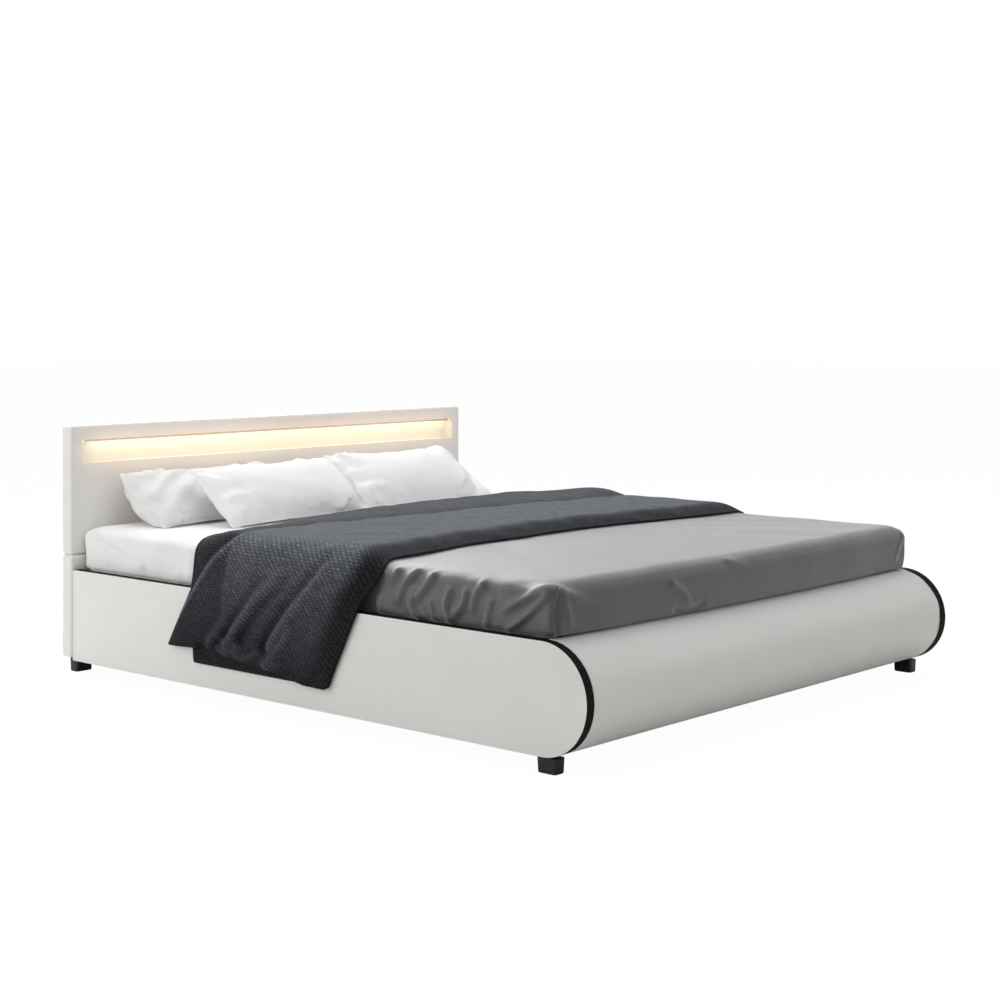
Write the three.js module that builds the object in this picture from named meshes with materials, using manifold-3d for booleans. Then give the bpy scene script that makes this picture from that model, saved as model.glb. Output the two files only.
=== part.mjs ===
// Double bed upholstered in white leather, with a rolled footboard, a lit headboard and its bedding.
// Millimetres, +Z up, +Y towards the headboard, X across. The origin is on the floor, under the
// middle of the bed.

import * as THREE from "three";
import { mergeVertices } from "three/addons/utils/BufferGeometryUtils.js";
import Module from "manifold-3d";

const wasm = await Module();
wasm.setup();

// Clearances
const seat = 0.3; // gap left between two pieces that touch
const overrun = 5; // how far a cutting solid passes the face that it cuts

// Mattress and the room that the frame leaves round it
const mattressWidth = 1800;
const mattressLength = 2000;
const mattressThickness = 200;
const mattressCorner = 30; // radius of the corners, seen from above
const mattressEdge = 26; // rounding of the bottom edge
const mattressShoulder = 64; // width of the soft top edge
const mattressShoulderDrop = 30; // and its height
const mattressSideBulge = 6; // swelling of the sides above the rails
const mattressEndBulge = 16;
const bulgeShare = 0.85; // of the swelling
const bulgeRiseShare = 0.06; // reached at this share of the height above the rails
const mattressSink = 60; // depth of the mattress below the rails' top
const sideGap = 13;
const headGap = 22;
const footGap = 22;

// Side rails
const railHeight = 301;
const railThickness = 32;
const railPadding = 1.2; // leather on the outer face
const railPaddingEdge = 0.8; // rounding of that leather's edge
const edgeBand = 2.5; // thickness of the black band round the rail's edge
const railClearance = 42; // floor to the rail's lower edge

// Headboard
const headboardThickness = 50;
const headboardHeight = 773;
const headboardClearance = 50; // floor to its lower edge
const headboardOverhang = 5; // how far it passes each rail's outer face
const headboardRounding = 12; // edges and corners of the padded panels
const lowerPanelHeight = 342;
const headboardPadding = 8; // leather and foam
const backPanelThickness = 3;
const backPanelMargin = 10; // from the headboard's edge
const panelSheet = 6; // front sheet of each panel's frame
const panelRail = 34; // width of the frame's members
const battenWidth = 60;
const battenThickness = 18;
const battenSpacing = 1000;
const battenEndMargin = 22; // batten's lower end to the frame's lower edge

// Light recess in the upper panel
const recessHeight = 77;
const recessDepth = 40;
const recessTopMargin = 50;
const recessSideMargin = 45;
const troughWall = 4;
const channelWidth = 14;
const channelHeight = 7;
const channelWall = 1.2;
const channelEndMargin = 12; // end of the channel to the recess's end wall
const channelSetback = 4; // behind the padding
const stripThickness = 0.8;
const stripWidth = 10;
const chipSize = 5;
const chipHeight = 0.9;
const chipCount = 30;
const diffuserThickness = 1;
const diffuserBulge = 1.2;

// Light supply, behind the lower panel
const driverWidth = 160;
const driverHeight = 45;
const driverThickness = 22;
const driverX = 250; // middle of the driver
const driverRise = 70; // floor of the lower panel's frame to the driver
const driverCorner = 4;
const leadWidth = 5;
const leadThickness = 2;
const leadClearance = 0.5;
const leadRise = 20; // straight run out of the driver before the lead turns back
const inletRadius = 6;
const inletFlangeRadius = 9;
const inletFlange = 1.5;
const inletBore = 3; // radius of the socket
const inletFloor = 3; // thickness behind the socket

// Footboard, a roll between the rails
const rimReveal = 1; // how far the rails' round ends stand proud of the roll
const rollPadding = 5;
const rollSkin = 4;
const footboardBoard = 18;
const formerThickness = 15;
const formerCount = 3;
const coverReturn = 35; // how far the cover laps onto the board's inner face
const coverReturnThickness = 2;

// Slat base
const slatCount = 14;
const slatWidth = 60;
const slatThickness = 8;
const slatCrown = 6;
const slatEndGap = 6; // slat's end to the rail
const slatMiddleGap = 16; // between the two mats, over the beam
const strapWidth = 25;
const strapThickness = 1.2;
const strapSink = 0.8; // how far the stitched strap sits into the slats
const strapSpacingShare = 0.6; // distance between a mat's straps, of the slats' length
const ledgeWidth = 25;
const ledgeHeight = 30;
const beamWidth = 40;
const beamHeight = 50;
const beamWall = 2;
const hangerPlateWidth = 80;
const hangerPlateHeight = 90;
const hangerThickness = 3;
const hangerDepth = 40;
const legCount = 2;
const legRadius = 16;
const legPadRadius = 25;
const legPadHeight = 10;
const legFlangeRadius = 30;
const legFlange = 4;

// Corner brackets and their bolts
const bracketFlange = 60;
const bracketHeight = 140;
const bracketThickness = 4;
const bracketGap = 8; // bracket's top to the slat ledge
const bracketFillet = 5;
const boltSetback = 36; // bolt's axis to the bracket's corner
const boltOffsetShare = 0.2; // height of each bolt above or below the bracket's middle
const boltRadius = 4;
const boltHeadRadius = 7.5; // to the corners of the hexagon
const boltHead = 5.3;
const boltGrip = 14; // length of the shank inside the wood

// Feet
const footLength = 62;
const footWidth = 40;
const footTaper = 1.5; // how much wider each side is at the top
const footCorner = 8;
const footEdge = 2; // rounding of the lower edge
const frontFootInset = 3; // foot's outer side to the rail's outer face
const frontFootSetback = 18; // foot's head end to the roll's flat side
const rearFootInset = 25; // foot's outer end to the headboard's side
const rearFootForward = 2; // foot's middle in front of the headboard's middle

// Bed linen
const fittedSheet = 2.6;
const flatSheet = 2.8;
const flatSheetPuff = 26; // how far it stands off the mattress's foot end
const flatSheetBow = 16; // and how much farther in the middle
const flatSheetReach = 1130; // from the mattress's foot end to the sheet's head edge
const sheetHemGap = 4; // sheet's hem to the slats' level
const sheetEdge = 2; // rounding of the hem

// Knitted throw, folded in two
const throwThickness = 11;
const throwReach = 1450; // from the mattress's head end to the throw's foot edge
const throwPuff = 24; // extra height of the folded knit over the mattress
const throwRailGap = 2;
const throwHemHeight = 115; // floor to the hem
const throwFold = 7; // depth of the folds in the hanging part
const throwFoldCount = 4;
const throwFoldLean = 0.35; // how far the folds lean towards the foot on their way down, in folds
const throwCornerLift = 43; // the hem's rise at its head corner
const throwCornerShare = 0.14; // part of the hem's width that rises
const throwEdgeCrowding = 0.6; // how much closer the rows of points stand near the edges

// Pillows
const pillowWidth = 660;
const pillowHeight = 290;
const pillowCrown = 78; // front face, in the middle
const pillowBack = 40; // back face, flatter where the pillow leans
const pillowDrawIn = 16; // how far the long sides bow in between the corners

// Places that follow from the sizes
const overallLength = headboardThickness + headGap + mattressLength + footGap + railHeight / 2;
const backY = overallLength / 2;
const headY = backY - headboardThickness; // headboard's front face
const mattressHeadY = headY - headGap;
const mattressFootY = mattressHeadY - mattressLength;
const rollY = mattressFootY - footGap; // flat inner side of the footboard, and the round ends' centre
const mattressMiddleY = (mattressHeadY + mattressFootY) / 2;
const railInnerX = mattressWidth / 2 + sideGap;
const railOuterX = railInnerX + railThickness;
const headboardHalf = railOuterX + headboardOverhang;
const railTop = railClearance + railHeight;
const rollZ = railClearance + railHeight / 2;
const mattressBottom = railTop - mattressSink;
const mattressTop = mattressBottom + mattressThickness;
const ledgeTop = mattressBottom - seat - slatCrown - slatThickness - seat;
const bracketBottom = ledgeTop - ledgeHeight - bracketGap - bracketHeight;
const headboardBottom = headboardClearance;
const headboardTop = headboardBottom + headboardHeight;
const seamZ = headboardBottom + lowerPanelHeight;
const recessHalf = headboardHalf - recessSideMargin;
const recessTop = headboardTop - recessTopMargin;
const recessBottom = recessTop - recessHeight;
const coreFrontY = headY + headboardPadding + seat;
const coreBackY = backY - backPanelThickness - seat;
const fittedTop = mattressTop + seat + fittedSheet;
const sheetTop = fittedTop + seat + flatSheet;

// Materials
const surface = (color, roughness, metalness = 0) =>
  new THREE.MeshStandardMaterial({ color, roughness, metalness });
const leather = surface(0xe6e4df, 0.5);
const blackBand = surface(0x1e1e1c, 0.5);
const blackPlastic = surface(0x1c1b1a, 0.45);
const plywood = surface(0xc9a877, 0.7);
const beech = surface(0xd8b98a, 0.6);
const blackCloth = surface(0x26262a, 0.9);
const lacquer = surface(0xf4efe2, 0.4);
const aluminium = surface(0xb9bbbd, 0.35, 0.9);
const steel = surface(0x3a3b3d, 0.45, 0.3);
const zinc = surface(0xa9abad, 0.35, 0.9);
const diffuser = surface(0xfff6dc, 0.5);
const ticking = surface(0xeeeeea, 0.9);
const whiteCotton = surface(0xf3f3f3, 0.85);
const greySatin = surface(0x8f9091, 0.5);
const slateKnit = surface(0x454952, 0.95);

const bed = new THREE.Group();

function addPiece(name, geometry, material, parent = bed) {
  const mesh = new THREE.Mesh(geometry, material);
  mesh.name = name;
  parent.add(mesh);
  return mesh;
}

// Geometry helpers

function positionOnly(geometry) {
  const bare = geometry.clone();
  bare.deleteAttribute("normal");
  bare.deleteAttribute("uv");
  return mergeVertices(bare, seat / 1000);
}

function toSolid(geometry) {
  const bare = positionOnly(geometry);
  return new wasm.Manifold(new wasm.Mesh({
    numProp: 3,
    vertProperties: new Float32Array(bare.attributes.position.array),
    triVerts: new Uint32Array(bare.index.array),
  }));
}

function fromSolid(solid) {
  const mesh = solid.getMesh();
  const geometry = new THREE.BufferGeometry();
  const places = new Float32Array((mesh.vertProperties.length / mesh.numProp) * 3);
  for (let i = 0; i < places.length / 3; i++) {
    for (let k = 0; k < 3; k++) places[3 * i + k] = mesh.vertProperties[mesh.numProp * i + k];
  }
  geometry.setAttribute("position", new THREE.BufferAttribute(places, 3));
  geometry.setIndex(new THREE.BufferAttribute(new Uint32Array(mesh.triVerts), 1));
  return geometry;
}

// Cuts every tool out of a body; all of them are geometries.
function cut(body, ...tools) {
  let solid = toSolid(body);
  for (const tool of tools) solid = solid.subtract(toSolid(tool));
  return fromSolid(solid);
}

function join(...parts) {
  let solid = toSolid(parts[0]);
  for (const part of parts.slice(1)) solid = solid.add(toSolid(part));
  return fromSolid(solid);
}

// A box between two values on each axis, in either order.
function block(x0, x1, y0, y1, z0, z1) {
  const box = new THREE.BoxGeometry(Math.abs(x1 - x0), Math.abs(y1 - y0), Math.abs(z1 - z0));
  return box.translate((x0 + x1) / 2, (y0 + y1) / 2, (z0 + z1) / 2);
}

// An outline in the YZ plane, drawn out along X from x0 to x1.
function alongX(shape, x0, x1, curveSegments = 12) {
  const low = Math.min(x0, x1);
  const geometry = new THREE.ExtrudeGeometry(shape, {
    depth: Math.abs(x1 - x0), bevelEnabled: false, curveSegments,
  });
  const turn = new THREE.Matrix4().makeBasis(
    new THREE.Vector3(0, 1, 0), new THREE.Vector3(0, 0, 1), new THREE.Vector3(1, 0, 0));
  return geometry.applyMatrix4(turn).translate(low, 0, 0);
}

// An outline in the XZ plane, drawn out along Y from y0 to y1.
function alongY(shape, y0, y1, curveSegments = 12) {
  const high = Math.max(y0, y1);
  const geometry = new THREE.ExtrudeGeometry(shape, {
    depth: Math.abs(y1 - y0), bevelEnabled: false, curveSegments,
  });
  const turn = new THREE.Matrix4().makeBasis(
    new THREE.Vector3(1, 0, 0), new THREE.Vector3(0, 0, 1), new THREE.Vector3(0, -1, 0));
  return geometry.applyMatrix4(turn).translate(0, high, 0);
}

function rodAlong(axis, radius, start, end, places, sides = 12) {
  const rod = new THREE.CylinderGeometry(radius, radius, Math.abs(end - start), sides);
  const middle = (start + end) / 2;
  if (axis === "x") {
    return rod.rotateZ(Math.PI / 2).translate(middle, places[0], places[1]);
  }
  return rod.translate(places[0], middle, places[1]);
}

function outlineShape(points) {
  return new THREE.Shape(points.map(([a, b]) => new THREE.Vector2(a, b)));
}

// A closed skin over rings of equal length; each end is closed by a fan round its middle.
function loft(rings) {
  const count = rings[0].length;
  const places = rings.flat().flatMap((p) => [p.x, p.y, p.z]);
  const faces = [];
  for (let r = 0; r + 1 < rings.length; r++) {
    for (let i = 0; i < count; i++) {
      const j = (i + 1) % count;
      const low = r * count;
      const high = low + count;
      faces.push(low + i, low + j, high + j, low + i, high + j, high + i);
    }
  }
  for (const end of [0, rings.length - 1]) {
    const middle = rings[end].reduce((sum, p) => sum.add(p), new THREE.Vector3());
    middle.divideScalar(count);
    const tip = places.length / 3;
    places.push(middle.x, middle.y, middle.z);
    for (let i = 0; i < count; i++) {
      const j = (i + 1) % count;
      const a = end * count + i;
      const b = end * count + j;
      if (end === 0) faces.push(b, a, tip);
      else faces.push(a, b, tip);
    }
  }
  return facingOut(places, faces);
}

// Two grids of points, one above the other, closed along their borders.
function closedSheet(upper, lower) {
  const rows = upper.length;
  const columns = upper[0].length;
  const places = [upper, lower].flat(2).flatMap((p) => [p.x, p.y, p.z]);
  const faces = [];
  const under = rows * columns;
  const at = (r, c) => r * columns + c;
  for (let r = 0; r + 1 < rows; r++) {
    for (let c = 0; c + 1 < columns; c++) {
      const [a, b, d, e] = [at(r, c), at(r, c + 1), at(r + 1, c + 1), at(r + 1, c)];
      faces.push(a, b, d, a, d, e);
      faces.push(under + a, under + d, under + b, under + a, under + e, under + d);
    }
  }
  const border = [];
  for (let c = 0; c < columns - 1; c++) border.push(at(0, c));
  for (let r = 0; r < rows - 1; r++) border.push(at(r, columns - 1));
  for (let c = columns - 1; c > 0; c--) border.push(at(rows - 1, c));
  for (let r = rows - 1; r > 0; r--) border.push(at(r, 0));
  border.forEach((a, i) => {
    const b = border[(i + 1) % border.length];
    faces.push(b, a, under + a, b, under + a, under + b);
  });
  return facingOut(places, faces);
}

// Merges shared points, drops faces that have closed up, and turns the skin outwards.
function facingOut(places, faces) {
  const raw = new THREE.BufferGeometry();
  raw.setAttribute("position", new THREE.Float32BufferAttribute(places, 3));
  raw.setIndex(faces);
  const merged = mergeVertices(raw, seat / 1000);
  const index = merged.index.array;
  const kept = [];
  for (let i = 0; i < index.length; i += 3) {
    const [a, b, c] = [index[i], index[i + 1], index[i + 2]];
    if (a !== b && b !== c && c !== a) kept.push([a, b, c]);
  }
  const point = (i) => new THREE.Vector3().fromBufferAttribute(merged.attributes.position, i);
  let volume = 0;
  for (const [a, b, c] of kept) volume += point(a).dot(point(b).cross(point(c)));
  merged.setIndex(kept.flatMap(([a, b, c]) => (volume < 0 ? [a, c, b] : [a, b, c])));
  return merged;
}

// Points round a rectangle with round corners, in the plane of two axes a and b.
function roundedOutline(a0, a1, b0, b1, radius, steps = 3) {
  const points = [];
  const corners = [[a1, b1, 0], [a0, b1, 1], [a0, b0, 2], [a1, b0, 3]];
  for (const [a, b, quarter] of corners) {
    const centreA = a === a1 ? a - radius : a + radius;
    const centreB = b === b1 ? b - radius : b + radius;
    for (let i = 0; i <= steps; i++) {
      const angle = (quarter + i / steps) * (Math.PI / 2);
      points.push([centreA + radius * Math.cos(angle), centreB + radius * Math.sin(angle)]);
    }
  }
  return points;
}

// How far a rounded edge of the given radius has drawn in and risen, at each of its steps.
function edgeSteps(radius, steps = 3) {
  return Array.from({ length: steps + 1 }, (_, i) => {
    const angle = (i / steps) * (Math.PI / 2);
    return { inset: radius * (1 - Math.sin(angle)), rise: radius * (1 - Math.cos(angle)) };
  });
}

// Side rails

// The rail's outline: straight, with a half-round foot end. The inset holds on every side but the
// head end.
function railOutline(inset, steps = 20) {
  const radius = railHeight / 2 - inset;
  const end = headY - seat;
  const points = [[end, rollZ - radius]];
  for (let i = 0; i <= steps; i++) {
    const angle = -Math.PI / 2 - (i / steps) * Math.PI;
    points.push([rollY + radius * Math.cos(angle), rollZ + radius * Math.sin(angle)]);
  }
  points.push([end, rollZ + radius]);
  return points;
}

function boltPlaces(side, end) {
  const wallY = end === "head" ? headY : rollY;
  const inward = end === "head" ? -1 : 1;
  const middleZ = bracketBottom + bracketHeight / 2;
  const offset = bracketHeight * boltOffsetShare;
  return {
    rail: { y: wallY + inward * boltSetback, z: middleZ + offset, side },
    board: { x: side * (railInnerX - boltSetback), z: middleZ - offset, wallY, inward },
  };
}

// The hole of a bolt that runs along X into a rail, or along Y into a board.
function railBoltHole(side, end) {
  const { y, z } = boltPlaces(side, end).rail;
  const depth = railInnerX + boltGrip + 2 * seat;
  const start = railInnerX - bracketThickness - overrun;
  return rodAlong("x", boltRadius + seat, side * start, side * depth, [y, z]);
}

function boardBoltHole(side, end, depth = boltGrip) {
  const { x, z, wallY, inward } = boltPlaces(side, end).board;
  const start = wallY + inward * (bracketThickness + overrun);
  return rodAlong("y", boltRadius + seat, start, wallY - inward * (depth + 2 * seat), [x, z]);
}

function railBoard(side) {
  const inset = edgeBand + seat;
  const outer = railOuterX - railPadding - seat;
  const board = alongX(outlineShape(railOutline(inset)), side * railInnerX, side * outer);
  return cut(board, railBoltHole(side, "head"), railBoltHole(side, "foot"));
}

function railBand(side) {
  const outer = railOutline(0);
  const inner = railOutline(edgeBand).reverse();
  const shape = outlineShape([...outer, ...inner]);
  return alongX(shape, side * railInnerX, side * (railOuterX - railPadding - seat));
}

// The leather of the outer face, with its edge rounded over towards the outside.
function railCover(side) {
  const ring = (x, inset) => railOutline(inset).map(([y, z]) => new THREE.Vector3(side * x, y, z));
  const rounding = edgeSteps(railPaddingEdge).reverse();
  return loft([
    ring(railOuterX - railPadding, 0),
    ...rounding.map(({ inset, rise }) => ring(railOuterX - rise, inset)),
  ]);
}

function slatLedge(side) {
  const x0 = side * (railInnerX - seat);
  const x1 = side * (railInnerX - seat - ledgeWidth);
  return block(x0, x1, rollY + coverReturnThickness + 2 * seat, headY - seat,
    ledgeTop - ledgeHeight, ledgeTop);
}

// Headboard

// A padded cover: a rounded tray, open at the back, of even thickness.
function paddedCover(z0, z1) {
  const ring = (y, inset) =>
    roundedOutline(-headboardHalf + inset, headboardHalf - inset, z0 + inset, z1 - inset,
      headboardRounding).map(([x, z]) => new THREE.Vector3(x, y, z));
  const rings = edgeSteps(headboardRounding).map(({ inset, rise }) => ring(headY + rise, inset));
  rings.push(ring(coreBackY, 0));
  const inner = headboardHalf - headboardPadding;
  const hollow = block(-inner, inner, headY + headboardPadding, coreBackY + overrun,
    z0 + headboardPadding, z1 - headboardPadding);
  return cut(loft(rings), hollow);
}

function upperCover() {
  const opening = block(-recessHalf, recessHalf, headY - overrun, coreFrontY + overrun,
    recessBottom, recessTop);
  return cut(paddedCover(seamZ + seat / 2, headboardTop), opening, battenGroove(-1), battenGroove(1),
    leadNotch());
}

function lowerCover() {
  return cut(paddedCover(headboardBottom, seamZ - seat / 2), battenGroove(-1), battenGroove(1),
    leadNotch(), ...headboardBoltHoles());
}

function headboardBoltHoles() {
  return [-1, 1].map((side) => boardBoltHole(side, "head", headboardPadding + boltGrip));
}

const coreMargin = headboardPadding + seat;
const troughHalf = recessHalf + troughWall;
const troughBottom = recessBottom - troughWall;
const troughTop = recessTop + troughWall;
const battenTop = troughBottom - panelRail / 2;
const battenBottom = headboardBottom + coreMargin + battenEndMargin;

function battenGroove(side) {
  const half = battenWidth / 2 + seat;
  const x = (side * battenSpacing) / 2;
  return block(x - half, x + half, coreBackY - battenThickness - seat, coreBackY + overrun,
    battenBottom - seat, battenTop + seat);
}

// Open cells between the battens, which leave the front sheet and the frame's members.
function panelCells(z0, z1) {
  const half = headboardHalf - coreMargin;
  const member = battenWidth / 2 + panelRail / 2;
  const batten = battenSpacing / 2;
  const spans = [
    [-half + panelRail, -batten - member],
    [-batten + member, batten - member],
    [batten + member, half - panelRail],
  ];
  return spans.map(([x0, x1]) =>
    block(x0, x1, coreFrontY + panelSheet, coreBackY + overrun, z0, z1));
}

function leadNotch() {
  const half = leadWidth / 2 + leadClearance;
  const front = coreBackY - leadThickness - 2 * leadClearance;
  return block(driverX - half, driverX + half, front, coreBackY + overrun,
    headboardBottom + coreMargin + driverRise + driverHeight, troughTop + seat);
}

function upperCore() {
  const half = headboardHalf - coreMargin;
  const z0 = seamZ + seat / 2 + coreMargin;
  const z1 = headboardTop - coreMargin;
  const body = block(-half, half, coreFrontY, coreBackY, z0, z1);
  const slot = block(-troughHalf - seat, troughHalf + seat, coreFrontY - overrun, coreBackY + overrun,
    troughBottom - seat, troughTop + seat);
  const cells = panelCells(z0 + panelRail, troughBottom - panelRail);
  return cut(body, slot, ...cells, battenGroove(-1), battenGroove(1), leadNotch());
}

function lowerCore() {
  const half = headboardHalf - coreMargin;
  const z0 = headboardBottom + coreMargin;
  const z1 = seamZ - seat / 2 - coreMargin;
  const body = block(-half, half, coreFrontY, coreBackY, z0, z1);
  const cells = panelCells(z0 + panelRail, z1 - panelRail);
  return cut(body, ...cells, battenGroove(-1), battenGroove(1), leadNotch(), ...headboardBoltHoles());
}

function batten(side) {
  const x = (side * battenSpacing) / 2;
  return block(x - battenWidth / 2, x + battenWidth / 2, coreBackY - battenThickness, coreBackY,
    battenBottom, battenTop);
}

const driverBottom = headboardBottom + coreMargin + driverRise;
const driverFrontY = coreFrontY + panelSheet + seat;
const driverBackY = driverFrontY + driverThickness;
const inletZ = driverBottom + driverHeight / 2;

function backPanel() {
  const half = headboardHalf - backPanelMargin;
  const sheet = block(-half, half, backY - backPanelThickness, backY,
    headboardBottom + backPanelMargin, headboardTop - backPanelMargin);
  const hole = rodAlong("y", inletRadius + seat, backY - overrun, backY + overrun, [driverX, inletZ], 16);
  return cut(sheet, hole);
}

const troughBackY = headY + recessDepth + troughWall;
const leadBackY = coreBackY - leadClearance;
const channelTop = recessTop - seat;
const channelFrontY = coreFrontY + channelSetback;
const leadTop = channelTop - channelWall;

function lightTrough() {
  const body = block(-troughHalf, troughHalf, coreFrontY, troughBackY, troughBottom, troughTop);
  const hollow = block(-recessHalf, recessHalf, coreFrontY - overrun, headY + recessDepth,
    recessBottom, recessTop);
  const half = leadWidth / 2 + leadClearance;
  const entry = block(driverX - half, driverX + half, headY + recessDepth - overrun,
    troughBackY + overrun, leadTop - leadThickness - leadClearance, leadTop + leadClearance);
  return cut(body, hollow, entry);
}

function ledChannel() {
  const y0 = channelFrontY;
  const y1 = y0 + channelWidth;
  const bottom = channelTop - channelHeight;
  const shape = outlineShape([
    [y0, bottom], [y0, channelTop], [y1, channelTop], [y1, bottom],
    [y1 - channelWall, bottom], [y1 - channelWall, channelTop - channelWall],
    [y0 + channelWall, channelTop - channelWall], [y0 + channelWall, bottom],
  ]);
  const half = recessHalf - channelEndMargin;
  return alongX(shape, -half, half);
}

const channelMiddleY = channelFrontY + channelWidth / 2;
const stripTop = channelTop - channelWall - seat;

function ledStrip() {
  const half = recessHalf - channelEndMargin;
  const tape = block(-half, half, channelMiddleY - stripWidth / 2, channelMiddleY + stripWidth / 2,
    stripTop - stripThickness, stripTop);
  const chips = Array.from({ length: chipCount }, (_, i) => {
    const x = -half + ((i + 0.5) * 2 * half) / chipCount;
    return block(x - chipSize / 2, x + chipSize / 2, channelMiddleY - chipSize / 2,
      channelMiddleY + chipSize / 2, stripTop - stripThickness - chipHeight,
      stripTop - stripThickness / 2);
  });
  return join(tape, ...chips);
}

// A thin lens across the channel's mouth, bulging downwards.
function ledDiffuser() {
  const halfWidth = channelWidth / 2 - channelWall - seat;
  const bottom = channelTop - channelHeight;
  const steps = 6;
  const lower = [];
  const upper = [];
  for (let i = 0; i <= steps; i++) {
    const share = (2 * i) / steps - 1;
    const drop = diffuserBulge * (1 - share * share);
    lower.push([channelMiddleY + share * halfWidth, bottom - drop]);
    upper.unshift([channelMiddleY + share * halfWidth, bottom + diffuserThickness - drop]);
  }
  const half = recessHalf - channelEndMargin;
  return alongX(outlineShape([...lower, ...upper]), -half, half);
}

function ledDriver() {
  const y = (driverFrontY + driverBackY) / 2;
  const outline = roundedOutline(driverX - driverWidth / 2, driverX + driverWidth / 2,
    driverBottom, driverBottom + driverHeight, driverCorner);
  return alongY(outlineShape(outline), y - driverThickness / 2, y + driverThickness / 2);
}

// Flat lead: up out of the driver, back to the panel, up behind the trough and in to the channel.
function ledLead() {
  const start = driverBottom + driverHeight + seat;
  const front = driverBackY - leadThickness * 2;
  const back = leadBackY - leadThickness;
  const channelEnd = channelFrontY + channelWidth + seat;
  const shape = outlineShape([
    [front, start], [front + leadThickness, start],
    [front + leadThickness, start + leadRise], [leadBackY, start + 2 * leadRise],
    [leadBackY, leadTop], [channelEnd, leadTop],
    [channelEnd, leadTop - leadThickness], [back, leadTop - leadThickness],
    [back, start + 2 * leadRise + leadThickness / 2], [front, start + leadRise + leadThickness / 2],
  ]);
  return alongX(shape, driverX - leadWidth / 2, driverX + leadWidth / 2);
}

function dcInlet() {
  const rear = backY - seat;
  const flangeRear = backY - backPanelThickness - seat;
  const profile = [
    [0, driverBackY + seat], [inletRadius, driverBackY + seat],
    [inletRadius, flangeRear - inletFlange], [inletFlangeRadius, flangeRear - inletFlange],
    [inletFlangeRadius, flangeRear], [inletRadius, flangeRear], [inletRadius, rear],
    [inletBore, rear], [inletBore, driverBackY + inletFloor], [0, driverBackY + inletFloor],
  ].map(([r, y]) => new THREE.Vector2(r, y));
  return positionOnly(new THREE.LatheGeometry(profile, 16)).translate(driverX, 0, inletZ);
}

// Footboard

const rollRadius = railHeight / 2 - rimReveal;
const skinRadius = rollRadius - rollPadding - seat;
const formerRadius = skinRadius - rollSkin - seat;
const rollHalf = railInnerX - seat;

function halfRound(radius, startY, steps = 24) {
  const reach = Math.acos((rollY - startY) / radius);
  return Array.from({ length: steps + 1 }, (_, i) => {
    const angle = Math.PI - reach + (2 * reach * i) / steps;
    return [rollY + radius * Math.cos(angle), rollZ + radius * Math.sin(angle)];
  });
}

function footboardInnerBoard() {
  const half = Math.sqrt(formerRadius ** 2 - footboardBoard ** 2);
  const board = block(-rollHalf, rollHalf, rollY - footboardBoard, rollY, rollZ - half, rollZ + half);
  return cut(board, boardBoltHole(-1, "foot"), boardBoltHole(1, "foot"));
}

function footboardFormer(index) {
  const x = ((index + 1) / (formerCount + 1) - 1 / 2) * 2 * rollHalf;
  const shape = outlineShape(halfRound(formerRadius, rollY - footboardBoard - seat));
  return alongX(shape, x - formerThickness / 2, x + formerThickness / 2);
}

function footboardSkin() {
  const outer = halfRound(skinRadius, rollY);
  const inner = halfRound(skinRadius - rollSkin, rollY).reverse();
  return alongX(outlineShape([...outer, ...inner]), -rollHalf, rollHalf);
}

// Padded cover round the roll, lapped onto the inner face above and below.
function footboardCover() {
  const outer = halfRound(rollRadius, rollY, 32);
  const inner = halfRound(rollRadius - rollPadding, rollY, 32).reverse();
  const lapFront = rollY + seat;
  const lapBack = lapFront + coverReturnThickness;
  const edge = rollRadius - rollPadding;
  const lap = rollRadius - coverReturn;
  const shape = outlineShape([
    ...outer,
    [lapBack, rollZ - rollRadius], [lapBack, rollZ - lap],
    [lapFront, rollZ - lap], [lapFront, rollZ - edge],
    ...inner,
    [lapFront, rollZ + edge], [lapFront, rollZ + lap],
    [lapBack, rollZ + lap], [lapBack, rollZ + rollRadius],
  ]);
  return alongX(shape, -rollHalf, rollHalf);
}

// Corner brackets and bolts

function cornerBracket(side, end) {
  const wallY = end === "head" ? headY - seat : rollY + seat;
  const inward = end === "head" ? -1 : 1;
  const x = railInnerX - seat;
  const reach = bracketThickness + bracketFillet;
  const steps = 4;
  const fillet = Array.from({ length: steps + 1 }, (_, i) => {
    const angle = (i / steps) * (Math.PI / 2);
    return [reach - bracketFillet * Math.sin(angle), reach - bracketFillet * Math.cos(angle)];
  });
  // distances from the corner: along the board, then along the rail
  const corner = [
    [0, 0], [bracketFlange, 0], [bracketFlange, bracketThickness], ...fillet,
    [bracketThickness, bracketFlange], [0, bracketFlange],
  ];
  const profile = outlineShape(corner.map(([a, b]) => [side * (x - a), wallY + inward * b]));
  const body = new THREE.ExtrudeGeometry(profile, { depth: bracketHeight, bevelEnabled: false });
  body.translate(0, 0, bracketBottom);
  return cut(body, railBoltHole(side, end), boardBoltHole(side, end));
}

function hexBolt(grip) {
  const head = new THREE.CylinderGeometry(boltHeadRadius, boltHeadRadius, boltHead, 6);
  head.translate(0, boltHead / 2, 0);
  const length = bracketThickness + seat + grip;
  const shank = new THREE.CylinderGeometry(boltRadius, boltRadius, length + boltHead / 2, 12);
  shank.translate(0, boltHead / 2 - (length + boltHead / 2) / 2, 0);
  return join(head, shank);
}

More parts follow.
